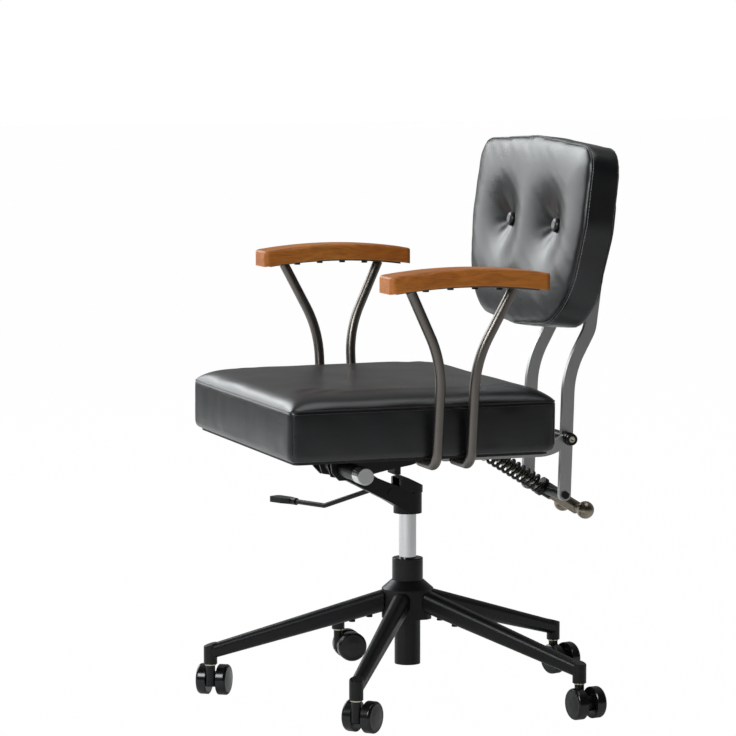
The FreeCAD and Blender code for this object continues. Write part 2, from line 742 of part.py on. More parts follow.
def height_lever():
    points = lever_points()
    points[0] = points[0] - (points[1] - points[0]).normalize() * (LEVER_R / 2)
    path = bent_path(points, [LEVER_BEND_R * 2, LEVER_BEND_R])
    return swept(path, LEVER_R, points[0], points[1] - points[0])


def lever_paddle():
    bend = Vector(*LEVER_BEND)
    tip = Vector(*LEVER_TIP)
    heading = (tip - bend).normalize()
    across = Z_AXIS.cross(heading).normalize()
    start = tip - heading * (PADDLE_LENGTH * 0.45)
    corners = []
    for along, side in ((0.0, -0.32), (0.0, 0.32), (0.35, 0.5), (1.0, 0.5), (1.0, -0.5), (0.35, -0.5)):
        corners.append(start + heading * (along * PADDLE_LENGTH) + across * (side * PADDLE_WIDTH))
    wire = rounded_polygon(corners, [2.5, 2.5, 10.0, 7.0, 7.0, 10.0])
    wire.translate(Z_AXIS * (-PADDLE_THICK / 2))
    blade = Part.Face(wire).extrude(Z_AXIS * PADDLE_THICK)
    neck = cylinder(LEVER_R + 2.0, start - heading * 10.0, heading, 14.0)
    shape = join([blade, neck])
    return shape.cut(cylinder(LEVER_R + PRESS_FIT, bend, heading, (tip - bend).Length + 0.1))


# Seat

def seat_section(z, inset):
    half = SEAT_HALF_WIDTH - inset
    front = SEAT_FRONT + inset
    rear = SEAT_REAR - inset
    points = [Vector(-half, front, z), Vector(half, front, z), Vector(half, rear, z), Vector(-half, rear, z)]
    front_r = max(SEAT_FRONT_CORNER_R - inset * 0.2, 6.0)
    rear_r = max(SEAT_REAR_CORNER_R - inset * 0.2, 10.0)
    return rounded_polygon(points, [front_r, front_r, rear_r, rear_r])


def seat_cushion():
    boxing = SEAT_SEAM - SEAT_BOTTOM
    levels = [(0.0, 7.0), (0.08, 2.5), (0.3, 0.0), (0.72, 0.0), (0.93, 1.5), (1.0, 4.0)]
    sides = [seat_section(SEAT_BOTTOM + share * boxing, inset) for share, inset in levels]
    body = Part.makeLoft(sides, True, True)
    rises = [(0.0, 4.0), (0.56, 12.0), (0.82, 30.0), (0.95, 65.0), (1.0, 120.0)]
    tops = [seat_section(SEAT_SEAM + share * SEAT_CROWN, inset) for share, inset in rises]
    crown = Part.makeLoft(tops, True, True)
    return body.fuse(crown).cut(seat_board(0.1))


def seat_board(spare=0.0):
    wire = seat_section(BOARD_BOTTOM, BOARD_INSET - spare)
    return Part.Face(wire).extrude(Z_AXIS * (BOARD_THICK + spare))


def seat_bracket():
    plate_low = BOARD_BOTTOM - BRACKET_PLATE
    front = TILT_Y - 40.0
    rear = 55.0
    plate = block(-BRACKET_HALF - 5.0, BRACKET_HALF + 5.0, front, rear, plate_low, BOARD_BOTTOM)
    outline = [
        (TILT_Y - 26.0, plate_low + 1.0),
        (TILT_Y - 21.0, TILT_Z - 6.0),
        (TILT_Y - 9.0, TILT_Z - TORSION_R - 6.0),
        (TILT_Y + 9.0, TILT_Z - TORSION_R - 6.0),
        (-50.0, TILT_Z - 5.0),
        (-12.0, TILT_Z + 1.0),
        (32.0, TILT_Z + 14.0),
        (48.0, plate_low + 1.0),
    ]
    cheek = side_plate(outline, BRACKET_HALF - CHEEK_THICK, BRACKET_HALF)
    stop_y = -35.0
    reach = stop_y - TILT_Y
    drop = reach * math.sin(math.radians(TILT_MAX_DEG))
    stop_low = channel_edge(stop_y - STOP_HALF * 2) + drop + STOP_GAP
    stop_x = CHANNEL_HALF - CHANNEL_WALL * 2
    tab = block(stop_x, BRACKET_HALF, stop_y - STOP_HALF, stop_y + STOP_HALF, stop_low, TILT_Z + 2.0)
    shape = join([plate, cheek, mirrored(cheek), tab, mirrored(tab)])
    start = Vector(-BRACKET_HALF - 1.0, TILT_Y, TILT_Z)
    return shape.cut(cylinder(TORSION_R + RUN_FIT, start, X_AXIS, 2 * BRACKET_HALF + 2.0))


def rear_arm():
    """Flat bar under the seat that curves up to the recline pivot, with a flange for the seat board."""
    path = [(30.0, ARM_BAR_Z), (PIVOT_Y - 35.0, ARM_BAR_Z), (PIVOT_Y, PIVOT_Z)]
    bar = flat_bar(path, [70.0], ARM_BAR_HALF, ARM_BAR_INNER, ARM_BAR_OUTER)
    flange_low = BOARD_BOTTOM - BRACKET_PLATE
    flange = block(BRACKET_HALF + 10.0, ARM_BAR_OUTER, 40.0, 118.0, flange_low, BOARD_BOTTOM)
    riser = block(ARM_BAR_INNER, ARM_BAR_OUTER, 40.0, 118.0, ARM_BAR_Z, BOARD_BOTTOM)
    shape = join([bar, flange, riser])
    hole = cylinder(PIVOT_R + PRESS_FIT, Vector(0, PIVOT_Y, PIVOT_Z), X_AXIS, 2 * ARM_BAR_OUTER)
    return shape.cut(hole)


def pivot_shaft():
    reach = ARM_BAR_OUTER + PIVOT_BUSH_LENGTH
    shaft = cylinder(PIVOT_R, Vector(-reach, PIVOT_Y, PIVOT_Z), X_AXIS, 2 * reach)
    dimple = Part.makeCone(PIVOT_R * 0.5, 0.2, 1.5, Vector(reach, PIVOT_Y, PIVOT_Z), -X_AXIS)
    return shaft.cut(dimple).cut(mirrored(dimple))


def pivot_bush():
    """Black end piece on the pivot shaft, with a step down to a narrower nose."""
    start = Vector(ARM_BAR_OUTER, PIVOT_Y, PIVOT_Z)
    base = cylinder(PIVOT_BUSH_R, start, X_AXIS, PIVOT_BUSH_LENGTH * 0.45)
    nose = cylinder(PIVOT_BUSH_R - PIVOT_BUSH_STEP, start, X_AXIS, PIVOT_BUSH_LENGTH)
    return join([base, nose]).cut(cylinder(PIVOT_R + PRESS_FIT, start, X_AXIS, PIVOT_BUSH_LENGTH))


def rod_anchor():
    plate_low = BOARD_BOTTOM - BRACKET_PLATE
    y = ANCHOR.y
    z = ANCHOR.z
    plate = block(-26.0, 26.0, y - 18.0, y + 16.0, plate_low, BOARD_BOTTOM)
    inner = ROD_EYE_HALF + SIDE_GAP
    outline = [(y - 10.0, plate_low + 1.0), (y - 10.0, z - 10.0), (y + 10.0, z - 10.0), (y + 10.0, plate_low + 1.0)]
    ear = side_plate(outline, inner, inner + 5.0, [0.5, 9.8, 9.8, 0.5])
    shape = join([plate, ear, mirrored(ear)])
    return shape.cut(cylinder(PIN_R + PRESS_FIT, ANCHOR - X_AXIS * 40.0, X_AXIS, 80.0))


def anchor_pin():
    reach = ROD_EYE_HALF + SIDE_GAP + 5.0
    pin = cylinder(PIN_R, ANCHOR - X_AXIS * (reach + 3.0), X_AXIS, 2 * reach + 6.0)
    head = cylinder(PIN_R * 1.7, ANCHOR + X_AXIS * reach, X_AXIS, 3.0)
    return join([pin, head])


# Recline rod, spring and tee handle

def rod_point(distance):
    """Point on the rod's axis, counted from the trunnion towards the rear."""
    return TRUNNION + ROD_AXIS * distance


def tension_rod():
    eye = cylinder(ROD_EYE_R, ANCHOR - X_AXIS * ROD_EYE_HALF, X_AXIS, 2 * ROD_EYE_HALF)
    shaft = cylinder(ROD_R, ANCHOR, ROD_AXIS, ROD_SPAN + BOSS_REAR + NUT_LENGTH * 0.7)
    cup = cylinder(CUP_R, ANCHOR + ROD_AXIS * CUP_START, ROD_AXIS, CUP_THICK)
    hole = cylinder(PIN_R + RUN_FIT, ANCHOR - X_AXIS * 20.0, X_AXIS, 40.0)
    return join([eye, shaft, cup]).cut(hole)


def biarc(start, start_heading, end, end_heading):
    """Two tangent arcs between two points with given headings."""
    chord = end - start
    total = start_heading + end_heading
    a = 2 * (1 - start_heading.dot(end_heading))
    b = 2 * chord.dot(total)
    c = -chord.dot(chord)
    length = (-b + math.sqrt(b * b - 4 * a * c)) / (2 * a)
    first = start + start_heading * length
    second = end - end_heading * length
    meet = (first + second) * 0.5
    pieces = []
    for p, q, corner in ((start, meet, first), (meet, end, second)):
        toward_p = (p - corner).normalize()
        toward_q = (q - corner).normalize()
        half = toward_p.getAngle(toward_q) / 2
        radius = (p - corner).Length * math.tan(half)
        middle = corner + (toward_p + toward_q).normalize() * (radius / math.sin(half) - radius)
        pieces.append(Part.Arc(p, middle, q).toShape())
    return pieces


def spring_line():
    """Start, length and side directions of the spring's middle line."""
    start = ANCHOR + ROD_AXIS * (CUP_START + CUP_THICK + SPRING_WIRE_R + SIDE_GAP)
    length = ROD_SPAN - CUP_START - CUP_THICK - BOSS_FRONT - 2 * (SPRING_WIRE_R + SIDE_GAP)
    up = Vector(0, math.sin(ROD_SLOPE), math.cos(ROD_SLOPE))
    return start, length, up


def spring_place(turn):
    start, length, up = spring_line()
    angle = 2 * math.pi * turn
    rise = length / SPRING_TURNS
    point = start + ROD_AXIS * (rise * turn) + X_AXIS * (SPRING_R * math.cos(angle))
    point = point + up * (SPRING_R * math.sin(angle))
    round_part = up * math.cos(angle) - X_AXIS * math.sin(angle)
    heading = round_part * (2 * math.pi * SPRING_R) + ROD_AXIS * rise
    return point, heading.normalize()


def spring():
    pieces = []
    steps = SPRING_TURNS * 4
    for k in range(steps):
        start, start_heading = spring_place(k / 4)
        end, end_heading = spring_place((k + 1) / 4)
        pieces += biarc(start, start_heading, end, end_heading)
    first, heading = spring_place(0)
    return swept(Part.Wire(pieces), SPRING_WIRE_R, first, heading)


def spring_gap():
    """Least gap between neighbouring turns, measured on points of the middle line."""
    per_turn = 24
    points = [spring_place(k / per_turn)[0] for k in range(SPRING_TURNS * per_turn + 1)]
    least = min(
        (points[k] - points[j]).Length
        for k in range(len(points))
        for j in range(k + per_turn // 2, min(k + per_turn * 2, len(points)))
    )
    return least - 2 * SPRING_WIRE_R


def trunnion():
    reach = BAR_INNER - SIDE_GAP
    cross = cylinder(TRUNNION_R, TRUNNION - X_AXIS * reach, X_AXIS, 2 * reach)
    front = cylinder(CUP_R, rod_point(-BOSS_FRONT), ROD_AXIS, BOSS_FRONT * 0.6)
    rear = cylinder(NUT_R + 2.0, TRUNNION, ROD_AXIS, BOSS_REAR)
    shape = join([cross, front, rear])
    shape = shape.cut(cylinder(ROD_R + FREE_GAP, rod_point(-40.0), ROD_AXIS, 80.0))
    start = TRUNNION + X_AXIS * (reach - TRUNNION_BOLT_DEPTH - 2.0)
    bolt = cylinder(TRUNNION_BOLT_R + PRESS_FIT, start, X_AXIS, TRUNNION_BOLT_DEPTH + 3.0)
    return shape.cut(bolt).cut(mirrored(bolt))


def trunnion_bolt():
    reach = BAR_INNER - SIDE_GAP
    head_x = BAR_OUTER + SIDE_GAP
    start_x = reach - TRUNNION_BOLT_DEPTH
    shank = cylinder(TRUNNION_BOLT_R, TRUNNION + X_AXIS * start_x, X_AXIS, head_x - start_x)
    corners = []
    for k in range(6):
        angle = math.radians(60 * k + 15)
        y = TRUNNION_Y + TRUNNION_HEAD_R * math.cos(angle)
        z = TRUNNION_Z + TRUNNION_HEAD_R * math.sin(angle)
        corners.append(Vector(head_x, y, z))
    head = Part.Face(plain_polygon(corners)).extrude(X_AXIS * TRUNNION_BOLT_R)
    return join([shank, head])


def tension_nut():
    start = rod_point(BOSS_REAR + SIDE_GAP)
    body = cylinder(NUT_R, start, ROD_AXIS, NUT_LENGTH)
    rim = [e for e in body.Edges if e.Closed and (e.CenterOfMass - start).Length > NUT_LENGTH - 1.0]
    body = body.makeFillet(4.0, rim[:1])
    flange = cylinder(NUT_R + 2.0, start, ROD_AXIS, 4.0)
    shape = join([body, flange])
    thread_length = NUT_LENGTH * 0.75
    shape = shape.cut(cylinder(ROD_R + RUN_FIT, start, ROD_AXIS, thread_length))
    cross = rod_point(TEE_PLACE) - X_AXIS * TEE_HALF
    return shape.cut(cylinder(TEE_R + PRESS_FIT, cross, X_AXIS, 2 * TEE_HALF))


def tee_bar():
    """Bar with a collar and a ball at each end, turned about its own axis."""
    centre = rod_point(TEE_PLACE)

    def place(along, radius):
        return centre + X_AXIS * along + Z_AXIS * radius

    collar_x = TEE_HALF - BALL_R - COLLAR_REACH
    meet_x = TEE_HALF - math.sqrt(BALL_R * BALL_R - COLLAR_HIGH_R * COLLAR_HIGH_R)
    half = [(collar_x, TEE_R), (collar_x, COLLAR_LOW_R), (meet_x, COLLAR_HIGH_R)]
    middle = [place(-x, r) for x, r in half[::-1]] + [place(x, r) for x, r in half]
    tip = place(TEE_HALF + BALL_R, 0)
    far_tip = place(-TEE_HALF - BALL_R, 0)
    pieces = [Part.Arc(far_tip, place(-TEE_HALF, BALL_R), middle[0]).toShape()]
    for first, second in zip(middle, middle[1:]):
        pieces.append(Part.LineSegment(first, second).toShape())
    pieces.append(Part.Arc(middle[-1], place(TEE_HALF, BALL_R), tip).toShape())
    pieces.append(Part.LineSegment(tip, far_tip).toShape())
    return Part.Face(Part.Wire(pieces)).revolve(centre, X_AXIS, 360)


# Back

def back_plane_y(z, behind):
    """Y of a plane parallel to the leaning back, a distance behind the front seam."""
    return BACK_SEAM_Y + (z - BACK_SEAM_Z) * math.tan(BACK_LEAN) + behind / math.cos(BACK_LEAN)


def back_bar():
    behind = BACK_DEPTH + BACK_BOARD_THICK + BAR_STANDOFF + BAR_HALF_WIDTH
    slope = math.tan(math.radians(BAR_SLOPE_DEG))
    lean = math.tan(BACK_LEAN)
    meet_z = BAR_BEND_Z + (back_plane_y(BAR_BEND_Z, behind) - BAR_BEND_Y) / (slope - lean)
    path = [
        (TRUNNION_Y, TRUNNION_Z),
        (BAR_BEND_Y, BAR_BEND_Z),
        (back_plane_y(meet_z, behind), meet_z),
        (back_plane_y(BAR_TOP_Z, behind), BAR_TOP_Z),
    ]
    shape = flat_bar(path, [150.0, 50.0], BAR_HALF_WIDTH, BAR_INNER, BAR_OUTER)
    pivot = cylinder(PIVOT_R + RUN_FIT, Vector(0, PIVOT_Y, PIVOT_Z), X_AXIS, 2 * BAR_OUTER)
    bolt = cylinder(TRUNNION_BOLT_R + RUN_FIT, TRUNNION, X_AXIS, 2 * BAR_OUTER)
    ear = cylinder(BAR_HALF_WIDTH, Vector(BAR_INNER, PIVOT_Y, PIVOT_Z), X_AXIS, BAR_THICK)
    return join([shape, ear] + bar_bosses()).cut(pivot).cut(bolt)


def bar_bosses():
    """Short round stubs that hold a bar off the board behind the cushion."""
    bosses = []
    backwards = Vector(0, math.cos(BACK_LEAN), -math.sin(BACK_LEAN))
    for z in BAR_BOSS_Z:
        front = Vector(BAR_X, back_plane_y(z, BACK_DEPTH + BACK_BOARD_THICK), z)
        bosses.append(cylinder(BAR_BOSS_R, front, backwards, BAR_STANDOFF + BAR_HALF_WIDTH))
    return bosses


def back_cross_tube():
    return ring(CROSS_TUBE_R, PIVOT_R + RUN_FIT, Vector(-BAR_INNER, PIVOT_Y, PIVOT_Z), X_AXIS, 2 * BAR_INNER)


def back_point(x, along, forward):
    """Point on the back: across, up along its lean, and forward of its rear plane."""
    middle = (BACK_TOP + BACK_BOTTOM) / 2
    z = middle + along * math.cos(BACK_LEAN) + forward * math.sin(BACK_LEAN)
    y = back_plane_y(middle, BACK_DEPTH) + along * math.sin(BACK_LEAN) - forward * math.cos(BACK_LEAN)
    return Vector(x, y, z)


def back_section(forward, inset):
    """Outline of the back cushion at a depth, drawn in by an inset on every side."""
    tall = (BACK_TOP - BACK_BOTTOM) / 2 / math.cos(BACK_LEAN)
    right_side = [
        (BACK_HALF_LOW, -tall + BACK_BOTTOM_SAG),
        (BACK_HALF_MID, 20.0),
        (BACK_HALF_TOP, tall - BACK_TOP_SAG),
    ]
    left_side = [(-x, along) for x, along in right_side[::-1]]
    corners = [(0.0, -tall)] + right_side + [(0.0, tall)] + left_side
    across = 1.0 - inset / BACK_HALF_MID
    upward = 1.0 - inset / tall
    share = min(forward / BACK_DEPTH, 1.0)
    low_r = BACK_CORNER_LOW_R + share * (BACK_CORNER_LOW_FRONT_R - BACK_CORNER_LOW_R)
    top_r = BACK_CORNER_TOP_R + share * (BACK_CORNER_TOP_FRONT_R - BACK_CORNER_TOP_R)
    sizes = [BACK_BOTTOM_R, low_r, BACK_SIDE_R, top_r, BACK_TOP_R, top_r, BACK_SIDE_R, low_r]
    radii = [size * upward for size in sizes]
    return rounded_polygon([back_point(x * across, along * upward, forward) for x, along in corners], radii)


def back_cushion():
    swell = BACK_DEPTH - BACK_BOXING
    rear_levels = [(0.0, 1.0), (0.35, 0.64), (0.75, 0.26), (1.0, 0.02)]
    sides = [back_section(share * swell, inset * BACK_REAR_INSET) for share, inset in rear_levels]
    edge_levels = [(0.1, 0.0), (0.75, 0.0), (0.94, 1.5), (1.0, 4.0)]
    sides += [back_section(swell + share * BACK_BOXING, inset) for share, inset in edge_levels]
    body = Part.makeLoft(sides, True, True)
    rises = [(0.0, 4.0), (0.45, 16.0), (0.75, 38.0), (0.92, 70.0), (1.0, 105.0)]
    fronts = [back_section(BACK_DEPTH + share * BACK_CROWN, inset) for share, inset in rises]
    shape = body.fuse(Part.makeLoft(fronts, True, True))
    for side in (-1, 1):
        shape = shape.cut(tuft(side))
    return shape


def button_base(side):
    """Place up the back and across it where a button is drawn in."""
    middle = (BACK_TOP + BACK_BOTTOM) / 2
    along = (BUTTON_Z - middle) / math.cos(BACK_LEAN)
    return along, side * BUTTON_X


def tuft(side):
    along, x = button_base(side)
    front = BACK_DEPTH + BACK_CROWN + TUFT_OVER
    outer = back_point(x, along, front)
    waist = back_point(x, along, front - TUFT_WAIST_DEPTH)
    inward = waist - outer
    dish = Part.makeCone(TUFT_R, TUFT_WAIST_R, TUFT_WAIST_DEPTH, outer, inward)
    funnel = Part.makeCone(TUFT_WAIST_R, BUTTON_R + 1.0, TUFT_DEPTH - TUFT_WAIST_DEPTH, waist, inward)
    return dish.fuse(funnel)


def back_button(side):
    along, x = button_base(side)
    floor = BACK_DEPTH + BACK_CROWN + TUFT_OVER - TUFT_DEPTH
    seat = back_point(x, along, floor)
    front = back_point(x, along, floor + BUTTON_THICK)
    disc = cylinder(BUTTON_R, seat, front - seat, (front - seat).Length)
    rim = [e for e in disc.Edges if e.Closed and (e.CenterOfMass - front).Length < 0.1]
    return disc.makeFillet(BUTTON_THICK * 0.66, rim[:1])


def back_board():
    wire = back_section(0.0, BACK_BOARD_INSET)
    backwards = back_point(0, 0, -1.0) - back_point(0, 0, 0.0)
    return Part.Face(wire).extrude(backwards * BACK_BOARD_THICK)


# Arms, built for the +X side

def arm_plane(z):
    return ARM_X_LOW + (z - ARM_Z_LOW) * math.tan(math.radians(ARM_LEAN_DEG))


def pad_drop(y):
    """How far the arched arm pad is below its middle at a place along it."""
    arch_r = (PAD_LENGTH * PAD_LENGTH / 4 + PAD_ARCH * PAD_ARCH) / (2 * PAD_ARCH)
    offset = y - PAD_MID_Y
    return arch_r - math.sqrt(arch_r * arch_r - offset * offset)


def arm_tube(side):
    """One tube from the seat's underside, up and outwards to the strap; side -1 is the front one."""
    low_y = ARM_MID_Y + side * ARM_HALF_LOW
    top_y = ARM_MID_Y + side * ARM_HALF_TOP
    top_z = PAD_TOP - PAD_THICK - STRAP_THICK - pad_drop(top_y)
    lean = math.radians(ARM_LEAN_DEG)
    up = Vector(math.sin(lean), 0, math.cos(lean))
    rise = (top_z - ARM_CURVE_Z) / math.cos(lean)
    out = ARM_HALF_TOP - ARM_HALF_LOW
    reach = math.hypot(rise, ARM_CURVE_R - out)
    full = math.asin(ARM_CURVE_R / reach) - math.atan2(ARM_CURVE_R - out, rise)
    foot = Vector(arm_plane(ARM_FOOT_Z), low_y, ARM_FOOT_Z)
    curve_start = Vector(arm_plane(ARM_CURVE_Z), low_y, ARM_CURVE_Z)
    inner = Vector(ARM_FOOT_X, low_y, ARM_FOOT_Z)
    first = bent_path([inner, foot, curve_start], [ARM_FOOT_BEND_R])
    def on_curve(angle):
        sideways = Y_AXIS * (side * ARM_CURVE_R * (1 - math.cos(angle)))
        return curve_start + up * (ARM_CURVE_R * math.sin(angle)) + sideways
    bow = Part.Arc(curve_start, on_curve(full / 2), on_curve(full)).toShape()
    top = curve_start + up * rise + Y_AXIS * (side * out)
    path = Part.Wire(first.Edges + [bow, Part.LineSegment(on_curve(full), top).toShape()])
    outer = swept(path, ARM_TUBE_R, inner, X_AXIS)
    bore = swept(path, ARM_TUBE_R - ARM_TUBE_WALL, inner, X_AXIS)
    tube = outer.cut(bore)
    above = arm_band(PAD_TOP - PAD_THICK - STRAP_THICK, PAD_THICK * 2, PAD_LENGTH * 1.4, PAD_WIDTH * 2)
    return tube.cut(above)


def arm_band(low, thick, length, width):
    """Arched band centred on the arm, with its middle's underside at a height."""
    half = length / 2
    y0 = PAD_MID_Y - half
    y1 = PAD_MID_Y + half
    x0 = PAD_X - width / 2
    drop = pad_drop(y0)
    lower = Part.Arc(Vector(x0, y0, low - drop), Vector(x0, PAD_MID_Y, low), Vector(x0, y1, low - drop))
    high = low + thick
    upper = Part.Arc(Vector(x0, y0, high - drop), Vector(x0, PAD_MID_Y, high), Vector(x0, y1, high - drop))
    front = Part.LineSegment(Vector(x0, y0, low - drop), Vector(x0, y0, high - drop))
    rear = Part.LineSegment(Vector(x0, y1, low - drop), Vector(x0, y1, high - drop))
    wire = Part.Wire([lower.toShape(), rear.toShape(), upper.toShape(), front.toShape()])
    return Part.Face(wire).extrude(X_AXIS * width)


def arm_pad():
    shape = arm_band(PAD_TOP - PAD_THICK, PAD_THICK, PAD_LENGTH, PAD_WIDTH)
    upright = [e for e in shape.Edges if e.BoundBox.ZLength > PAD_THICK * 0.9 and e.BoundBox.YLength < 0.1]
    shape = shape.makeFillet(PAD_CORNER_R, upright)
    middle = PAD_TOP - PAD_THICK / 2 - PAD_ARCH / 2
    high = [e for e in shape.Edges if e.BoundBox.ZMin > middle and e.BoundBox.ZLength < PAD_ARCH + 1]
    shape = shape.makeFillet(PAD_EDGE_R, high)
    for hole in arm_screw_shanks(PRESS_FIT):
        shape = shape.cut(hole)
    return shape


def arm_strap():
    shape = arm_band(PAD_TOP - PAD_THICK - STRAP_THICK, STRAP_THICK, STRAP_LENGTH, STRAP_WIDTH)
    for hole in arm_screw_shanks(PRESS_FIT):
        shape = shape.cut(hole)
    return shape


def arm_screw_places():
    """Places under the strap, inboard of the two tubes and beside the middle."""
    places = []
    outer = ARM_HALF_TOP - ARM_TUBE_R * 3
    for offset in (-outer, -outer / 3, outer / 3, outer):
        y = ARM_MID_Y + offset
        places.append(Vector(PAD_X, y, PAD_TOP - PAD_THICK - STRAP_THICK - pad_drop(y)))
    return places


def arm_screw_shanks(spare):
    start = Z_AXIS * (SCREW_HEAD - 0.7)
    length = SCREW_LENGTH + spare
    return [cylinder(SCREW_R + spare, p - start, Z_AXIS, length) for p in arm_screw_places()]


def arm_screws():
    screws = []
    for place, shank in zip(arm_screw_places(), arm_screw_shanks(0.0)):
        head = cylinder(SCREW_R * 2, place - Z_AXIS * (SCREW_HEAD + 0.9), Z_AXIS, SCREW_HEAD)
        screws.append(join([head, shank]))
    return screws


def build():
    leg_angles = [FIRST_LEG_DEG + k * 360.0 / LEG_COUNT for k in range(LEG_COUNT)]
    save("base_hub", base_hub())
    one_leg = leg()
    one_stem = caster_stem()
    hood = caster_hood()
    wheels = caster_wheels()
    screws = []
    stems = []
    for k in range(LEG_COUNT):
        save("leg_%d" % (k + 1), turned(one_leg, leg_angles[k]))
        save("caster_%d_hood" % (k + 1), caster_placed(hood, k))
        save("caster_%d_wheels" % (k + 1), caster_placed(wheels, k))
        screws += [turned(screw, leg_angles[k]) for screw in leg_screw()]
        stems.append(turned(one_stem, leg_angles[k]))
    save("leg_screws", Part.makeCompound(screws))
    save("caster_stems", Part.makeCompound(stems))
    save("column_tube", column_tube())
    save("column_bush", column_bush())
    save("thrust_bearing", thrust_bearing())
    save("lift_rod", lift_rod())
    save("gas_cylinder", gas_cylinder())
    save("release_pin", release_pin())
    save("tilt_channel", tilt_channel())
    save("mechanism_cover", mechanism_cover())
    save("torsion_tube", torsion_tube())
    near_cap = torsion_cap(TORSION_NEAR_X, X_AXIS, CAP_NEAR_LENGTH)
    far_cap = torsion_cap(TORSION_FAR_X, -X_AXIS, CAP_FAR_LENGTH)
    save("torsion_caps", Part.makeCompound([near_cap, far_cap]))
    save("height_lever", height_lever())
    save("lever_paddle", lever_paddle())
    save("seat_board", seat_board())
    save("seat_cushion", seat_cushion())
    save("seat_bracket", seat_bracket())
    arm = rear_arm()
    save("rear_arm_left", arm)
    save("rear_arm_right", mirrored(arm))
    save("pivot_shaft", pivot_shaft())
    bush = pivot_bush()
    save("pivot_bushes", Part.makeCompound([bush, mirrored(bush)]))
    save("rod_anchor", rod_anchor())
    save("anchor_pin", anchor_pin())
    save("tension_rod", tension_rod())
    save("spring", spring())
    save("trunnion", trunnion())
    bolt = trunnion_bolt()
    save("trunnion_bolts", Part.makeCompound([bolt, mirrored(bolt)]))
    save("tension_nut", tension_nut())
    save("tee_bar", tee_bar())
    bar = back_bar()
    save("back_bar_left", bar)
    save("back_bar_right", mirrored(bar))
    save("back_cross_tube", back_cross_tube())
    save("back_board", back_board())
    save("back_cushion", back_cushion())
    save("back_buttons", Part.makeCompound([back_button(-1), back_button(1)]))
    for name, side in (("front", -1), ("rear", 1)):
        tube = arm_tube(side)
        save("arm_tube_%s_left" % name, tube)
        save("arm_tube_%s_right" % name, mirrored(tube))
    pad = arm_pad()
    save("arm_pad_left", pad)
    save("arm_pad_right", mirrored(pad))
    strap = arm_strap()
    save("arm_strap_left", strap)
    save("arm_strap_right", mirrored(strap))
    left_screws = arm_screws()
    save("arm_screws", Part.makeCompound(left_screws + [mirrored(s) for s in left_screws]))
    print("least gap between spring turns: %.2f mm" % spring_gap())


if __name__ == "__main__":
    os.makedirs("parts", exist_ok=True)
    build()
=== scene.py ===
# %% [markdown]
# An office chair with a leather seat and a tufted back.
# The metal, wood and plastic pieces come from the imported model, which is the fixed frame of this lesson.
# Blender adds what that frame cannot hold: the sewn leather cushions, the stitching and every finish.

# %% Load the frame
import bpy
import json
import math
from mathutils import Matrix, Vector, noise


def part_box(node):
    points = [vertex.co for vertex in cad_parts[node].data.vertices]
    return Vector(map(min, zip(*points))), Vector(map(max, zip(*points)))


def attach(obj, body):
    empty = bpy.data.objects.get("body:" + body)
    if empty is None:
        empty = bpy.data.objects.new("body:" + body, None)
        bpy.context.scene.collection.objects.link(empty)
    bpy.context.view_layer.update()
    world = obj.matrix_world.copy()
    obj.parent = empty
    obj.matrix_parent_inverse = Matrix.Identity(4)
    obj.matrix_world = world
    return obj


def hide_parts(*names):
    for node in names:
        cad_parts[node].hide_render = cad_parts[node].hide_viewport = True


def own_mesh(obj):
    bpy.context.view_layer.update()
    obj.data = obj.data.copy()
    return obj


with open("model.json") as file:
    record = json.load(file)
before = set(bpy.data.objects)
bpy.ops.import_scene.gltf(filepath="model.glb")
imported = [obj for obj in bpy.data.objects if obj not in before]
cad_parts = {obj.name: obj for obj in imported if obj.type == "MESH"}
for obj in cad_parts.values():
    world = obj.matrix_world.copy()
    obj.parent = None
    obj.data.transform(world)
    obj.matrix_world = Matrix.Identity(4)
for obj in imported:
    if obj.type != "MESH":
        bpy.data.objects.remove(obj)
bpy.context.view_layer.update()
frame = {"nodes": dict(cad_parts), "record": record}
print("frame pieces:", len(frame["nodes"]))

# %% [markdown]
# The camera comes first, because every later choice is judged through it.
# A long lens from five metres away keeps the upright lines nearly parallel, as in a catalogue picture.
# The chair faces -Y, so an azimuth of about 70 degrees shows its left side and a little of its front.

# %% Camera
CAMERA_AZIMUTH = math.radians(69.59)
CAMERA_DISTANCE = 5.3405
CAMERA_HEIGHT = 1.086
CAMERA_PITCH = math.radians(5.9)
CAMERA_YAW = math.radians(0.688)
LENS = 162.88


def add_camera():
    out = Vector((math.sin(CAMERA_AZIMUTH), -math.cos(CAMERA_AZIMUTH), 0))
    heading = -out
    heading.rotate(Matrix.Rotation(CAMERA_YAW, 3, "Z"))
    sight = heading * math.cos(CAMERA_PITCH) - Vector((0, 0, math.sin(CAMERA_PITCH)))
    bpy.ops.object.camera_add(location=out * CAMERA_DISTANCE + Vector((0, 0, CAMERA_HEIGHT)))
    camera = bpy.context.object
    camera.rotation_mode = "QUATERNION"
    camera.rotation_quaternion = sight.to_track_quat("-Z", "Y")
    camera.data.lens = LENS
    camera.data.sensor_width = 36.0
    camera.data.clip_end = 100.0
    bpy.context.scene.camera = camera
    return out


TOWARDS_CAMERA = add_camera()
print("camera looks from", [round(c, 3) for c in bpy.context.scene.camera.location])

# %% [markdown]
# Operators act on whatever is selected, so a few helpers keep the selection honest.
# Each finished piece has its place in its mesh and its object at the origin, as the frame's pieces have.

# %% Modelling helpers
def make_active(piece):
    if bpy.context.object and bpy.context.object.mode != "OBJECT":
        bpy.ops.object.mode_set(mode="OBJECT")
    bpy.ops.object.select_all(action="DESELECT")
    piece.select_set(True)
    bpy.context.view_layer.objects.active = piece


def settle(piece):
    make_active(piece)
    bpy.ops.object.transform_apply(location=True, rotation=True, scale=True)


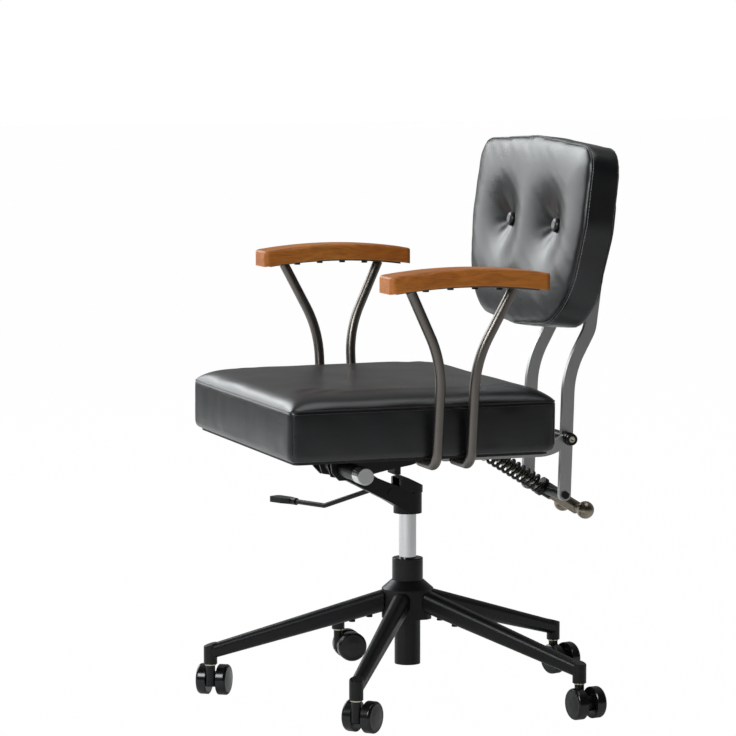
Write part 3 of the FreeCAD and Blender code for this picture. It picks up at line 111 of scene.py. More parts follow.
def apply_modifier(piece, kind, **values):
    make_active(piece)
    modifier = piece.modifiers.new(kind.title(), kind)
    for name, value in values.items():
        setattr(modifier, name, value)
    bpy.ops.object.modifier_apply(modifier=modifier.name)


def pick_edges(piece, wanted):
    """Selects, in edit mode, the edges whose two end points pass a test."""
    make_active(piece)
    bpy.ops.object.mode_set(mode="EDIT")
    bpy.ops.mesh.select_mode(type="EDGE")
    bpy.ops.mesh.select_all(action="DESELECT")
    bpy.ops.object.mode_set(mode="OBJECT")
    points = piece.data.vertices
    for edge in piece.data.edges:
        edge.select = wanted(points[edge.vertices[0]].co, points[edge.vertices[1]].co)
    bpy.ops.object.mode_set(mode="EDIT")


def round_edges(piece, wanted, radius, segments):
    pick_edges(piece, wanted)
    bpy.ops.mesh.bevel(offset=radius, offset_type="OFFSET", segments=segments, affect="EDGES")
    bpy.ops.object.mode_set(mode="OBJECT")


def dress(piece, name, body, material):
    """Names a finished piece, gives it its finish and lets it ride on a body of the frame."""
    settle(piece)
    piece.name = name
    piece.data.name = name
    piece.data.materials.clear()
    piece.data.materials.append(material)
    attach(piece, body)
    print("made", name, "with", len(piece.data.polygons), "faces")
    return piece


# %% [markdown]
# Finishes are built from a few shared effects, each a shader node group with named sockets.
# An effect only gives masks and heights; the shader that uses them stays in the material itself.

# %% Node helpers
def new_group(name, inputs, outputs):
    tree = bpy.data.node_groups.new(name, "ShaderNodeTree")
    for label, value in inputs.items():
        socket = tree.interface.new_socket(label, in_out="INPUT", socket_type="NodeSocketFloat")
        socket.default_value = value
    for label in outputs:
        tree.interface.new_socket(label, in_out="OUTPUT", socket_type="NodeSocketFloat")
    start = tree.nodes.new("NodeGroupInput")
    end = tree.nodes.new("NodeGroupOutput")
    return tree, start, end


def add_node(tree, kind, links=None, **values):
    """A node with its settings and inputs: a number or colour is set, a socket is linked."""
    node = tree.nodes.new("ShaderNode" + kind)
    for name, value in values.items():
        setattr(node, name, value)
    for name, value in (links or {}).items():
        if isinstance(value, bpy.types.NodeSocket):
            tree.links.new(value, node.inputs[name])
        else:
            node.inputs[name].default_value = value
    return node


def math_node(tree, operation, first, second=0.5, clamp=False):
    node = add_node(tree, "Math", {0: first, 1: second}, operation=operation, use_clamp=clamp)
    return node.outputs[0]


def stretched(tree, turn=(0, 0, 0), scale=(1, 1, 1)):
    """Object coordinates, turned and scaled, so that a pattern runs along the piece."""
    place = add_node(tree, "TexCoord").outputs["Object"]
    mapping = add_node(tree, "Mapping", {"Vector": place})
    mapping.inputs["Rotation"].default_value = turn
    mapping.inputs["Scale"].default_value = scale
    return mapping.outputs["Vector"]


def remap(tree, value, low, high, to_low=0.0, to_high=1.0):
    links = {"Value": value, "From Min": low, "From Max": high, "To Min": to_low, "To Max": to_high}
    return add_node(tree, "MapRange", links, clamp=True).outputs["Result"]


def mix_colour(tree, share, first, second):
    node = add_node(tree, "Mix", {0: share, 6: first, 7: second}, data_type="RGBA")
    return node.outputs[2]


def new_material(name):
    material = bpy.data.materials.new(name)
    material.use_nodes = True
    tree = material.node_tree
    tree.nodes.clear()
    shader = tree.nodes.new("ShaderNodeBsdfPrincipled")
    output = tree.nodes.new("ShaderNodeOutputMaterial")
    tree.links.new(shader.outputs[0], output.inputs["Surface"])
    return material, tree, shader


def use_group(tree, group, **values):
    node = tree.nodes.new("ShaderNodeGroup")
    node.node_tree = group
    for name, value in values.items():
        node.inputs[name.replace("_", " ")].default_value = value
    return node


def add_bump(tree, shader, height, strength, distance):
    bump = add_node(tree, "Bump", {"Height": height, "Strength": strength, "Distance": distance})
    tree.links.new(bump.outputs["Normal"], shader.inputs["Normal"])


def feed(tree, shader, **sockets):
    for name, value in sockets.items():
        label = name.replace("_", " ")
        if isinstance(value, bpy.types.NodeSocket):
            tree.links.new(value, shader.inputs[label])
        else:
            shader.inputs[label].default_value = value


# %% [markdown]
# Three effects return on most surfaces. Paler edges are partly rub wear from hands and cartons and partly a
# painted
# highlight: the true normal is compared with one that a small bevel would give. Smudges vary the gloss in
# soft clouds.
# Hide grain is the pebble of leather, small cells with finer pores and a few long creases.

# %% Shared effects
PULL_ANGLE = math.radians(-32)


# Painted highlight and rub wear: this mask lightens every edge of the finishes that use it.
def edge_highlight_and_rub_group():
    tree, start, end = new_group("edge_highlight_and_rub", {"Radius": 0.0015}, ["Mask"])
    rounded = add_node(tree, "Bevel", {"Radius": start.outputs["Radius"]}, samples=4)
    plain = add_node(tree, "NewGeometry")
    pair = {0: rounded.outputs["Normal"], 1: plain.outputs["Normal"]}
    agreement = add_node(tree, "VectorMath", pair, operation="DOT_PRODUCT").outputs["Value"]
    mask = remap(tree, agreement, 0.985, 0.82)
    tree.links.new(mask, end.inputs["Mask"])
    return tree


def smudge_group():
    tree, start, end = new_group("smudges", {"Scale": 9.0, "Low": 0.0, "High": 1.0}, ["Value"])
    links = {"Vector": stretched(tree), "Scale": start.outputs["Scale"], "Detail": 4.0, "Roughness": 0.6}
    cloud = add_node(tree, "TexNoise", links).outputs[0]
    value = remap(tree, cloud, 0.3, 0.7, start.outputs["Low"], start.outputs["High"])
    tree.links.new(value, end.inputs["Value"])
    return tree


def hide_grain_group():
    inputs = {"Pebble": 760.0, "Crease": 95.0}
    tree, start, end = new_group("hide_grain", inputs, ["Height", "Creases", "Tone"])
    place = stretched(tree)
    bend = add_node(tree, "TexNoise", {"Vector": place, "Scale": 90.0, "Detail": 2.0}).outputs["Color"]
    shift = add_node(tree, "VectorMath", {0: bend, "Scale": 0.004}, operation="SCALE").outputs[0]
    moved = add_node(tree, "VectorMath", {0: place, 1: shift}).outputs[0]
    cell_links = {"Vector": moved, "Scale": start.outputs["Pebble"]}
    cells = add_node(tree, "TexVoronoi", cell_links, feature="DISTANCE_TO_EDGE").outputs["Distance"]
    pebble = remap(tree, cells, 0.0, 0.22)
    pores = add_node(tree, "TexNoise", {"Vector": place, "Scale": 2100.0, "Detail": 1.0}).outputs[0]
    grain = math_node(tree, "MULTIPLY_ADD", pores, 0.25)
    grain.node.inputs[2].default_value = 0.0
    height = math_node(tree, "ADD", pebble, grain)
    long_place = stretched(tree, turn=(0.0, PULL_ANGLE, 0.0), scale=(0.09, 0.09, 1.0))
    line_links = {"Vector": long_place, "Scale": start.outputs["Crease"], "Detail": 2.0}
    creases = add_node(tree, "TexNoise", line_links).outputs[0]
    tone = add_node(tree, "TexNoise", {"Vector": place, "Scale": 7.0, "Detail": 3.0}).outputs[0]
    tree.links.new(height, end.inputs["Height"])
    tree.links.new(creases, end.inputs["Creases"])
    tree.links.new(tone, end.inputs["Tone"])
    return tree


EDGE_HIGHLIGHT_AND_RUB = edge_highlight_and_rub_group()
SMUDGES = smudge_group()
HIDE_GRAIN = hide_grain_group()
print("shared effects:", [g.name for g in bpy.data.node_groups])

# %% [markdown]
# Black leather is never quite black: its folds are deep and its high places are a cold dark grey.
# The grain goes into a bump, the creases into a second, wider one, and clouds vary the gloss.

# %% Leather and thread
def black_leather():
    material, tree, shader = new_material("black_leather")
    grain = use_group(tree, HIDE_GRAIN)
    gloss = use_group(tree, SMUDGES, Scale=11.0, Low=0.27, High=0.33)
    deep = (0.0045, 0.005, 0.0052, 1)
    worn = (0.009, 0.0097, 0.0103, 1)
    colour = mix_colour(tree, grain.outputs["Tone"], deep, worn)
    feed(tree, shader, Base_Color=colour, Roughness=gloss.outputs["Value"], Specular_IOR_Level=0.62)
    links = {"Height": grain.outputs["Creases"], "Strength": 0.11, "Distance": 0.0012}
    wide = add_node(tree, "Bump", links)
    links = {"Height": grain.outputs["Height"], "Strength": 0.10, "Distance": 0.0003}
    fine = add_node(tree, "Bump", links)
    tree.links.new(wide.outputs["Normal"], fine.inputs["Normal"])
    tree.links.new(fine.outputs["Normal"], shader.inputs["Normal"])
    return material


def sewing_thread(name, colour):
    material, tree, shader = new_material(name)
    links = {"Vector": stretched(tree), "Scale": 1500.0, "Detail": 2.0}
    fibres = add_node(tree, "TexNoise", links).outputs[0]
    dark = tuple(c * 0.55 for c in colour) + (1,)
    light = tuple(colour) + (1,)
    feed(tree, shader, Base_Color=mix_colour(tree, fibres, dark, light), Roughness=0.62)
    add_bump(tree, shader, fibres, 0.3, 0.0003)
    return material


LEATHER = black_leather()
DARK_THREAD = sewing_thread("dark_thread", (0.05, 0.05, 0.052))
PALE_THREAD = sewing_thread("pale_thread", (0.34, 0.35, 0.36))

# %% [markdown]
# The arm pads are oiled teak. Straight grain runs along the arm: a noise that is stretched along Y and
# bent by a slower noise, with short dark pores between the rings and every edge paler, partly rub and partly
# painted highlight.

# %% Wood
def oiled_teak():
    material, tree, shader = new_material("oiled_teak")
    slow = add_node(tree, "TexNoise", {"Vector": stretched(tree), "Scale": 7.0, "Detail": 2.0})
    bend = add_node(tree, "VectorMath", {0: slow.outputs["Color"], "Scale": 0.05}, operation="SCALE")
    long_place = stretched(tree, turn=(0.03, 0.02, 0.0), scale=(1.0, 0.06, 1.0))
    place = add_node(tree, "VectorMath", {0: long_place, 1: bend.outputs[0]}).outputs[0]
    rings = add_node(tree, "TexNoise", {"Vector": place, "Scale": 150.0, "Detail": 5.0, "Roughness": 0.62})
    pore_place = stretched(tree, scale=(1.0, 0.035, 1.0))
    pores = add_node(tree, "TexNoise", {"Vector": pore_place, "Scale": 900.0, "Detail": 1.0}).outputs[0]
    ring = remap(tree, rings.outputs[0], 0.32, 0.7)
    pore = remap(tree, pores, 0.62, 0.72)
    broad = remap(tree, slow.outputs[0], 0.35, 0.65)
    dark = (0.24, 0.062, 0.007, 1)
    warm = (0.52, 0.155, 0.018, 1)
    golden = (0.64, 0.225, 0.034, 1)
    base = mix_colour(tree, broad, warm, golden)
    grained = mix_colour(tree, math_node(tree, "MULTIPLY", ring, 0.62), base, dark)
    pored = mix_colour(tree, math_node(tree, "MULTIPLY", pore, 0.55), grained, (0.09, 0.03, 0.01, 1))
    # Painted highlight with some rub wear: every edge of the teak is lightened.
    edge = use_group(tree, EDGE_HIGHLIGHT_AND_RUB, Radius=0.003)
    highlight_and_rub = math_node(tree, "MULTIPLY", edge.outputs["Mask"], 0.45)
    colour = mix_colour(tree, highlight_and_rub, pored, (0.72, 0.40, 0.17, 1))
    gloss = remap(tree, ring, 0.0, 1.0, 0.4, 0.55)
    feed(tree, shader, Base_Color=colour, Roughness=gloss, Specular_IOR_Level=0.42)
    height = math_node(tree, "SUBTRACT", math_node(tree, "MULTIPLY", ring, 0.4), pore)
    add_bump(tree, shader, height, 0.18, 0.0004)
    return material


def stained_board():
    material, tree, shader = new_material("stained_board")
    long_place = stretched(tree, scale=(0.08, 1.0, 1.0))
    grain = add_node(tree, "TexNoise", {"Vector": long_place, "Scale": 160.0, "Detail": 4.0}).outputs[0]
    colour = mix_colour(tree, grain, (0.012, 0.012, 0.012, 1), (0.035, 0.033, 0.03, 1))
    feed(tree, shader, Base_Color=colour, Roughness=0.72)
    add_bump(tree, shader, grain, 0.25, 0.0004)
    return material


# %% [markdown]
# The metals differ in colour, in gloss and in how they were finished. Drawn and ground metal has fine
# lines along the work, so its bump is a noise stretched along one axis. Paint has a faint orange peel.

# %% Metals, paint and plastic
def worked_metal(name, colour, gloss, along, highlight_and_rub_colour=None, line_strength=0.06):
    """Bare or plated metal with fine lines along an axis and clouds in its gloss."""
    material, tree, shader = new_material(name)
    scale = tuple(0.03 if axis == along else 1.0 for axis in "XYZ")
    line_links = {"Vector": stretched(tree, scale=scale), "Scale": 900.0, "Detail": 2.0}
    lines = add_node(tree, "TexNoise", line_links)
    clouds = use_group(tree, SMUDGES, Scale=14.0, Low=gloss - 0.05, High=gloss + 0.06)
    dark = tuple(c * 0.82 for c in colour) + (1,)
    light = tuple(colour) + (1,)
    shade = mix_colour(tree, lines.outputs[0], dark, light)
    if highlight_and_rub_colour:
        # Painted highlight with some rub wear: the edges are lightened.
        edge = use_group(tree, EDGE_HIGHLIGHT_AND_RUB, Radius=0.0012)
        highlight_and_rub = math_node(tree, "MULTIPLY", edge.outputs["Mask"], 0.5)
        shade = mix_colour(tree, highlight_and_rub, shade, tuple(highlight_and_rub_colour) + (1,))
    feed(tree, shader, Base_Color=shade, Metallic=1.0, Roughness=clouds.outputs["Value"])
    add_bump(tree, shader, lines.outputs[0], line_strength, 0.0002)
    return material


def coated(name, colour, gloss, peel_scale, peel_strength, highlight_and_rub_colour, highlight_and_rub_radius=0.0012, specular=0.5):
    """Paint or moulded plastic: a fine surface texture, clouds in the gloss and paler edges, partly rub wear
    and partly painted highlight.
    """
    material, tree, shader = new_material(name)
    clouds = use_group(tree, SMUDGES, Scale=12.0, Low=gloss - 0.04, High=gloss + 0.07)
    peel_links = {"Vector": stretched(tree), "Scale": peel_scale, "Detail": 2.0}
    peel = add_node(tree, "TexNoise", peel_links).outputs[0]
    # Painted highlight with some rub wear: the edges are lightened.
    edge = use_group(tree, EDGE_HIGHLIGHT_AND_RUB, Radius=highlight_and_rub_radius)
    highlight_and_rub = math_node(tree, "MULTIPLY", edge.outputs["Mask"], 0.55)
    dark = tuple(c * 0.75 for c in colour) + (1,)
    light = tuple(colour) + (1,)
    shade = mix_colour(tree, highlight_and_rub, mix_colour(tree, peel, dark, light), tuple(highlight_and_rub_colour) + (1,))
    feed(tree, shader, Base_Color=shade, Roughness=clouds.outputs["Value"], Specular_IOR_Level=specular)
    add_bump(tree, shader, peel, peel_strength, 0.0002)
    return material


# The last colour of the coated finishes and of pewter, satin steel and gunmetal is a painted edge highlight
# with some rub wear.
FINISHES = {
    "black_paint": coated(
        "black_paint", (0.0085, 0.0085, 0.009), 0.36, 500.0, 0.05, (0.035, 0.035, 0.036), specular=0.3),
    "black_plastic": coated(
        "black_plastic", (0.008, 0.008, 0.0085), 0.3, 900.0, 0.04, (0.03, 0.03, 0.031), specular=0.32),
    "caster_tread": coated("caster_tread", (0.006, 0.006, 0.0065), 0.2, 1200.0, 0.03, (0.028, 0.028, 0.03)),
    "zinc_steel": worked_metal("zinc_steel", (0.66, 0.64, 0.5), 0.3, "Z"),
    "chrome": worked_metal("chrome", (0.72, 0.72, 0.72), 0.1, "Z", line_strength=0.01),
    "spring_steel": coated("spring_steel", (0.008, 0.008, 0.009), 0.26, 1500.0, 0.03, (0.05, 0.05, 0.052)),
    "pewter": worked_metal("pewter", (0.36, 0.31, 0.245), 0.34, "X", (0.6, 0.54, 0.44)),
    "satin_steel": worked_metal("satin_steel", (0.50, 0.50, 0.49), 0.36, "Z", (0.72, 0.72, 0.71)),
    "gunmetal": worked_metal("gunmetal", (0.19, 0.172, 0.157), 0.33, "Z", (0.42, 0.39, 0.36)),
    "teak": oiled_teak(),
    "plywood": stained_board(),
    "black_leather": LEATHER,
}


def finish_frame_pieces():
    for part in frame["record"]["subparts"]:
        node = frame["nodes"][part["node"]]
        node.data.materials.clear()
        node.data.materials.append(FINISHES[part["material_slot"]])


finish_frame_pieces()
print("finishes:", len(FINISHES))

# %% [markdown]
# A cushion starts as a block of foam: a cube with its corners rounded by bevels. A voxel remesh turns it
# into an even net of small faces, and a cloth simulation with air inside blows the cover up between its
# seams. The seams and the underside are pinned, so that the panels swell and the edges stay where the
# frame has them. A cap on the movement keeps the cover within the space of its solid.

# %% Cushion helpers
VOXEL = 0.005
SIM_FRAMES = 20
AIR_PRESSURE = 4.0
SEAM_ROUNDING = 0.004
SEAM_BELOW = 0.003
SEAM_BAND = 0.005


def remesh(piece, size):
    apply_modifier(piece, "REMESH", mode="VOXEL", voxel_size=size)


def blow_up(piece, sewn, pressure, cap):
    """Cloth with air inside; the sewn points stay, and no point moves further than the cap."""
    before = [v.co.copy() for v in piece.data.vertices]
    group = piece.vertex_groups.new(name="sewn")
    group.add([k for k, co in enumerate(before) if sewn(co)], 1.0, "ADD")
    make_active(piece)
    cloth = piece.modifiers.new("Cloth", "CLOTH")
    cloth.settings.quality = 4
    cloth.settings.mass = 0.25
    cloth.settings.tension_stiffness = 18.0
    cloth.settings.compression_stiffness = 12.0
    cloth.settings.bending_stiffness = 1.5
    cloth.settings.use_pressure = True
    cloth.settings.uniform_pressure_force = pressure
    cloth.settings.vertex_group_mass = "sewn"
    cloth.settings.effector_weights.gravity = 0.0
    cloth.collision_settings.use_collision = False
    cloth.point_cache.frame_start = 1
    cloth.point_cache.frame_end = SIM_FRAMES
    for number in range(1, SIM_FRAMES + 1):
        bpy.context.scene.frame_set(number)
    bpy.ops.object.modifier_apply(modifier=cloth.name)
    bpy.context.scene.frame_set(1)
    most = 0.0
    for vertex, old in zip(piece.data.vertices, before):
        step = vertex.co - old
        most = max(most, step.length)
        if step.length > cap:
            vertex.co = old + step * (cap / step.length)
    piece.vertex_groups.clear()
    print("cover moved up to", round(most * 1000, 1), "mm")


def smooth_cover(piece, repeat):
    apply_modifier(piece, "SMOOTH", factor=0.5, iterations=repeat)


def subdivide_cover(piece):
    apply_modifier(piece, "SUBSURF", levels=1, render_levels=1)
    make_active(piece)
    bpy.ops.object.shade_smooth()


def ramp(value, low, high):
    """A soft step from 0 at low to 1 at high."""
    share = min(max((value - low) / (high - low), 0.0), 1.0)
    return share * share * (3 - 2 * share)


# %% [markdown]
# The seat is a box cushion: a flat boxing round the sides and a crowned panel on top, sewn along the top
# edge. Its front corners are tight and its rear corners rounder. The foam's crown is raised first, with a
# quick rise inside the seam. The simulation then adds only a little swelling, because a taut cover would
# draw the shoulders straight, and the crown is set to the height that the frame's solid has.

# %% Seat cushion
SEAT_LOW, SEAT_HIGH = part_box("seat_cushion")
SEAT_CROWN = 0.022
SEAT_SHOULDER = 0.017
SEAT_SWELL = 0.0012
SEAT_SEAM_Z = SEAT_HIGH.z - SEAT_CROWN
SEAT_FRONT_R = 0.012
SEAT_REAR_R = 0.020
SEAT_FOOT_R = 0.009
SEAT_INSET = 0.0015


def seat_block():
    centre = (SEAT_LOW + SEAT_HIGH) / 2
    centre.z = (SEAT_LOW.z + SEAT_SEAM_Z) / 2
    bpy.ops.object.select_all(action="DESELECT")
    bpy.ops.mesh.primitive_cube_add(size=1, location=centre)
    piece = bpy.context.object
    width = SEAT_HIGH.x - SEAT_LOW.x - 2 * SEAT_INSET
    depth = SEAT_HIGH.y - SEAT_LOW.y - 2 * SEAT_INSET
    piece.scale = (width, depth, SEAT_SEAM_Z - SEAT_LOW.z)
    settle(piece)
    middle_y = centre.y
    round_edges(piece, lambda a, b: abs(a.z - b.z) > 0.02 and a.y < middle_y, SEAT_FRONT_R, 5)
    round_edges(piece, lambda a, b: abs(a.z - b.z) > 0.02 and a.y > middle_y, SEAT_REAR_R, 7)
    round_edges(piece, lambda a, b: min(a.z, b.z) > SEAT_SEAM_Z - 0.001, SEAM_ROUNDING, 2)
    round_edges(piece, lambda a, b: max(a.z, b.z) < SEAT_LOW.z + 0.001, SEAT_FOOT_R, 3)
    return piece


def crown_to(piece, seam_z, crown):
    """Scales what rises above the seam, so that the crown has its real height."""
    rise = max(v.co.z for v in piece.data.vertices) - seam_z
    if rise < 0.001:
        return
    for vertex in piece.data.vertices:
        if vertex.co.z > seam_z:
            vertex.co.z = seam_z + (vertex.co.z - seam_z) * crown / rise


def foam_crown(piece, seam_z, crown):
    """Raises the top panel: a quick rise inside the seam, then nearly flat, as packed foam lies."""
    for vertex in piece.data.vertices:
        if vertex.co.z > seam_z - SEAM_BELOW:
            across = SEAT_HIGH.x - abs(vertex.co.x)
            along = min(vertex.co.y - SEAT_LOW.y, SEAT_HIGH.y - vertex.co.y)
            lift_across = 1 - math.exp(-max(across, 0) / SEAT_SHOULDER)
            lift_along = 1 - math.exp(-max(along, 0) / SEAT_SHOULDER)
            vertex.co.z += crown * (lift_across * lift_along)


def seat_wrinkles(piece):
    """Low waves in the boxing, drawn up from its lower edge, and a soft unevenness on top."""
    for vertex in piece.data.vertices:
        place = vertex.co
        normal = vertex.normal
        if abs(normal.z) < 0.6:
            along = Vector((place.x * 26, place.y * 26, place.z * 7))
            wave = noise.noise(along) * 0.0011
            height = (place.z - SEAT_LOW.z) / (SEAT_SEAM_Z - SEAT_LOW.z)
            vertex.co = place + normal * (wave * ramp(height, 0.0, 0.3) * ramp(1.0 - height, 0.0, 0.25))
        elif normal.z > 0:
            soft = noise.noise(Vector((place.x * 11, place.y * 11, 4.0))) * 0.0012
            vertex.co = place + normal * soft


def seat_cushion():
    piece = seat_block()
    remesh(piece, VOXEL)
    foam_crown(piece, SEAT_SEAM_Z, SEAT_CROWN)
    def sewn(co):
        at_seam = abs(co.z - (SEAT_SEAM_Z - SEAM_BELOW)) < SEAM_BAND
        return at_seam and not inside_top(co) or co.z < SEAT_LOW.z + 0.012
    blow_up(piece, sewn, AIR_PRESSURE, SEAT_SWELL)
    crown_to(piece, SEAT_SEAM_Z, SEAT_CROWN)
    smooth_cover(piece, 3)
    seat_wrinkles(piece)
    subdivide_cover(piece)
    dress(piece, "seat_cover", "seat", LEATHER)
    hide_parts("seat_cushion")
    return piece


def inside_top(co):
    """True for points of the top panel that are well inside its sewn edge."""
    edge = 0.009
    inside_x = abs(co.x) < SEAT_HIGH.x - edge
    inside_y = SEAT_LOW.y + edge < co.y < SEAT_HIGH.y - edge
    return inside_x and inside_y


SEAT_COVER = seat_cushion()

# %% [markdown]
# The back is modelled lying down, front face up, and leaned into place at the end. Its outline is a barrel
# with soft corners: a subdivided plane whose edge points are moved out, with its corner points bevelled.
# The foam is crowned and drawn in to a wide dish at each button, and the cover is pinned at its seam and
# under the buttons, so that the air only rounds what the foam gives.

# %% Back cushion
BACK_LEAN = math.radians(7.5)
BACK_DEPTH = 0.080
BACK_BOXING = 0.050
BACK_CROWN = 0.010
BACK_SHOULDER = 0.09
BACK_SWELL = 0.006
BACK_TALL = 0.1548
BACK_WIDEST_UP = 0.02
REAR_STEPS = ((0.75, 0.0204), (0.35, 0.0501), (0.0, 0.0783))
BACK_HALF_TOP = 0.233
BACK_HALF_MID = 0.238
BACK_HALF_LOW = 0.207
BACK_TOP_DROP = 0.012
BACK_LOW_RISE = 0.014
FRONT_TOP_R = 0.036
FRONT_LOW_R = 0.098
REAR_TOP_R = 0.042
REAR_LOW_R = 0.064
BUTTON_X = 0.0947
BUTTON_UP = 0.0136
BUTTON_R = 0.012
BUTTON_FLOOR = BACK_DEPTH - 0.016
TUFT_R = 0.118
BOARD_THICK = 0.008
BOARD_LOW, BOARD_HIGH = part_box("back_board")
BACK_FORWARD = Vector((0, -math.cos(BACK_LEAN), math.sin(BACK_LEAN)))
BACK_UP = Vector((0, math.sin(BACK_LEAN), math.cos(BACK_LEAN)))
BACK_MIDDLE = (BOARD_LOW + BOARD_HIGH) / 2 + BACK_FORWARD * (BOARD_THICK / 2)
LEANED = Matrix.Translation(BACK_MIDDLE) @ Matrix((
    (1, BACK_UP.x, BACK_FORWARD.x, 0),
    (0, BACK_UP.y, BACK_FORWARD.y, 0),
    (0, BACK_UP.z, BACK_FORWARD.z, 0),
    (0, 0, 0, 1),
))


def back_outline_plane(top_r, low_r):
    """The outline as one flat face with round corners, before it gets its depth."""
    bpy.ops.object.select_all(action="DESELECT")
    bpy.ops.mesh.primitive_plane_add(size=2)
    piece = bpy.context.object
    bpy.ops.object.mode_set(mode="EDIT")
    bpy.ops.mesh.subdivide(number_cuts=1)
    bpy.ops.object.mode_set(mode="OBJECT")
    for vertex in piece.data.vertices:
        side, end = round(vertex.co.x), round(vertex.co.y)
        half = {-1: BACK_HALF_LOW, 0: BACK_HALF_MID, 1: BACK_HALF_TOP}[end]
        drop = {-1: BACK_LOW_RISE, 0: 0.0, 1: -BACK_TOP_DROP}[end] * abs(side)
        vertex.co.x = side * half
        vertex.co.y = end * BACK_TALL + drop + (BACK_WIDEST_UP if end == 0 else 0.0)
    round_corner_points(piece, lambda co: abs(co.x) > 0.19 and co.y > 0.1, top_r)
    round_corner_points(piece, lambda co: abs(co.x) > 0.19 and co.y < -0.1, low_r)
    return piece


def round_corner_points(piece, wanted, radius):
    make_active(piece)
    bpy.ops.object.mode_set(mode="EDIT")
    bpy.ops.mesh.select_mode(type="VERT")
    bpy.ops.mesh.select_all(action="DESELECT")
    bpy.ops.object.mode_set(mode="OBJECT")
    for vertex in piece.data.vertices:
        vertex.select = wanted(vertex.co)
    bpy.ops.object.mode_set(mode="EDIT")
    bpy.ops.mesh.bevel(offset=radius, offset_type="OFFSET", segments=8, affect="VERTICES")
    bpy.ops.object.mode_set(mode="OBJECT")


def edge_loop(piece, height):
    """Points of the outer edge at a height, in order round the middle."""
    points = [v.co.copy() for v in piece.data.vertices if abs(v.co.z - height) < 0.0005]
    centre = sum(points, Vector()) / len(points)
    farthest = {}
    for point in points:
        angle = round(math.atan2(point.y - centre.y, point.x - centre.x), 3)
        if angle not in farthest or (point - centre).length > (farthest[angle] - centre).length:
            farthest[angle] = point
    return [farthest[angle] for angle in sorted(farthest)]


def back_block():
    rear = back_outline_plane(REAR_TOP_R, REAR_LOW_R)
    rear_points = [v.co.copy() for v in rear.data.vertices]
    bpy.data.objects.remove(rear)
    piece = back_outline_plane(FRONT_TOP_R, FRONT_LOW_R)
    front_points = [v.co.copy() for v in piece.data.vertices]
    outline = [point for point in edge_loop(piece, 0.0) if point.length > 0.1]
    make_active(piece)
    bpy.ops.object.mode_set(mode="EDIT")
    bpy.ops.mesh.select_all(action="SELECT")
    bpy.ops.transform.translate(value=(0, 0, BACK_DEPTH))
    bpy.ops.mesh.extrude_region_move(TRANSFORM_OT_translate={"value": (0, 0, -BACK_BOXING)})
    bpy.ops.object.mode_set(mode="OBJECT")
    reshape_rear(piece, front_points, rear_points)
    bpy.ops.object.mode_set(mode="EDIT")
    swell_out_rear()
    bpy.ops.mesh.select_all(action="SELECT")
    bpy.ops.mesh.normals_make_consistent(inside=False)
    bpy.ops.object.mode_set(mode="OBJECT")
    on_edge = outline_test(outline)
    round_edges(piece, lambda a, b: min(a.z, b.z) > BACK_DEPTH - 0.001 and on_edge(a, b), SEAM_ROUNDING, 2)
    return piece, outline


def reshape_rear(piece, front_points, rear_points):
    """Gives the boxing's rear edge its own corners: rounder above and squarer below than the front's."""
    places = {(round(f.x, 5), round(f.y, 5)): r for f, r in zip(front_points, rear_points)}
    for vertex in piece.data.vertices:
        if vertex.co.z < BACK_DEPTH - 0.001:
            wanted = places[(round(vertex.co.x, 5), round(vertex.co.y, 5))]
            vertex.co.x, vertex.co.y = wanted.x, wanted.y


def swell_out_rear():
    """Pushes the selected rear face back in steps, each one drawn further in than the last."""
    place = BACK_DEPTH - BACK_BOXING
    across = upward = 1.0
    for share, inset in REAR_STEPS:
        level = share * (BACK_DEPTH - BACK_BOXING)
        bpy.ops.mesh.extrude_region_move(TRANSFORM_OT_translate={"value": (0, 0, level - place)})
        new_across, new_upward = 1 - inset / BACK_HALF_MID, 1 - inset / BACK_TALL
        scale = (new_across / across, new_upward / upward, 1)
        bpy.ops.transform.resize(value=scale, center_override=(0, 0, level))
        place, across, upward = level, new_across, new_upward


def outline_test(outline):
    """A test for edges that lie along the outline, whatever their height."""
    known = {(round(p.x, 4), round(p.y, 4)) for p in outline}

    def on_edge(a, b):
        return (round(a.x, 4), round(a.y, 4)) in known and (round(b.x, 4), round(b.y, 4)) in known
    return on_edge


def button_distance(co):
    return min(math.hypot(co.x - side * BUTTON_X, co.y - BUTTON_UP) for side in (-1, 1))


def foam_front(piece, outline):
    """Crowns the front panel and draws it in to a wide dish at each button."""
    for vertex in piece.data.vertices:
        if vertex.co.z > BACK_DEPTH - 0.001:
            inside = min(edge_distance(vertex.co, outline) / BACK_SHOULDER, 1.0)
            high = BACK_DEPTH + BACK_CROWN * (1 - (1 - inside) ** 2.5)
            share = min(max((button_distance(vertex.co) - BUTTON_R) / (TUFT_R - BUTTON_R), 0.0), 1.0)
            vertex.co.z = BUTTON_FLOOR + (high - BUTTON_FLOOR) * (1 - (1 - share) ** 2)


PULL_ALONG = Vector((math.cos(PULL_ANGLE), math.sin(PULL_ANGLE), 0))
PULL_ACROSS = Vector((-PULL_ALONG.y, PULL_ALONG.x, 0))


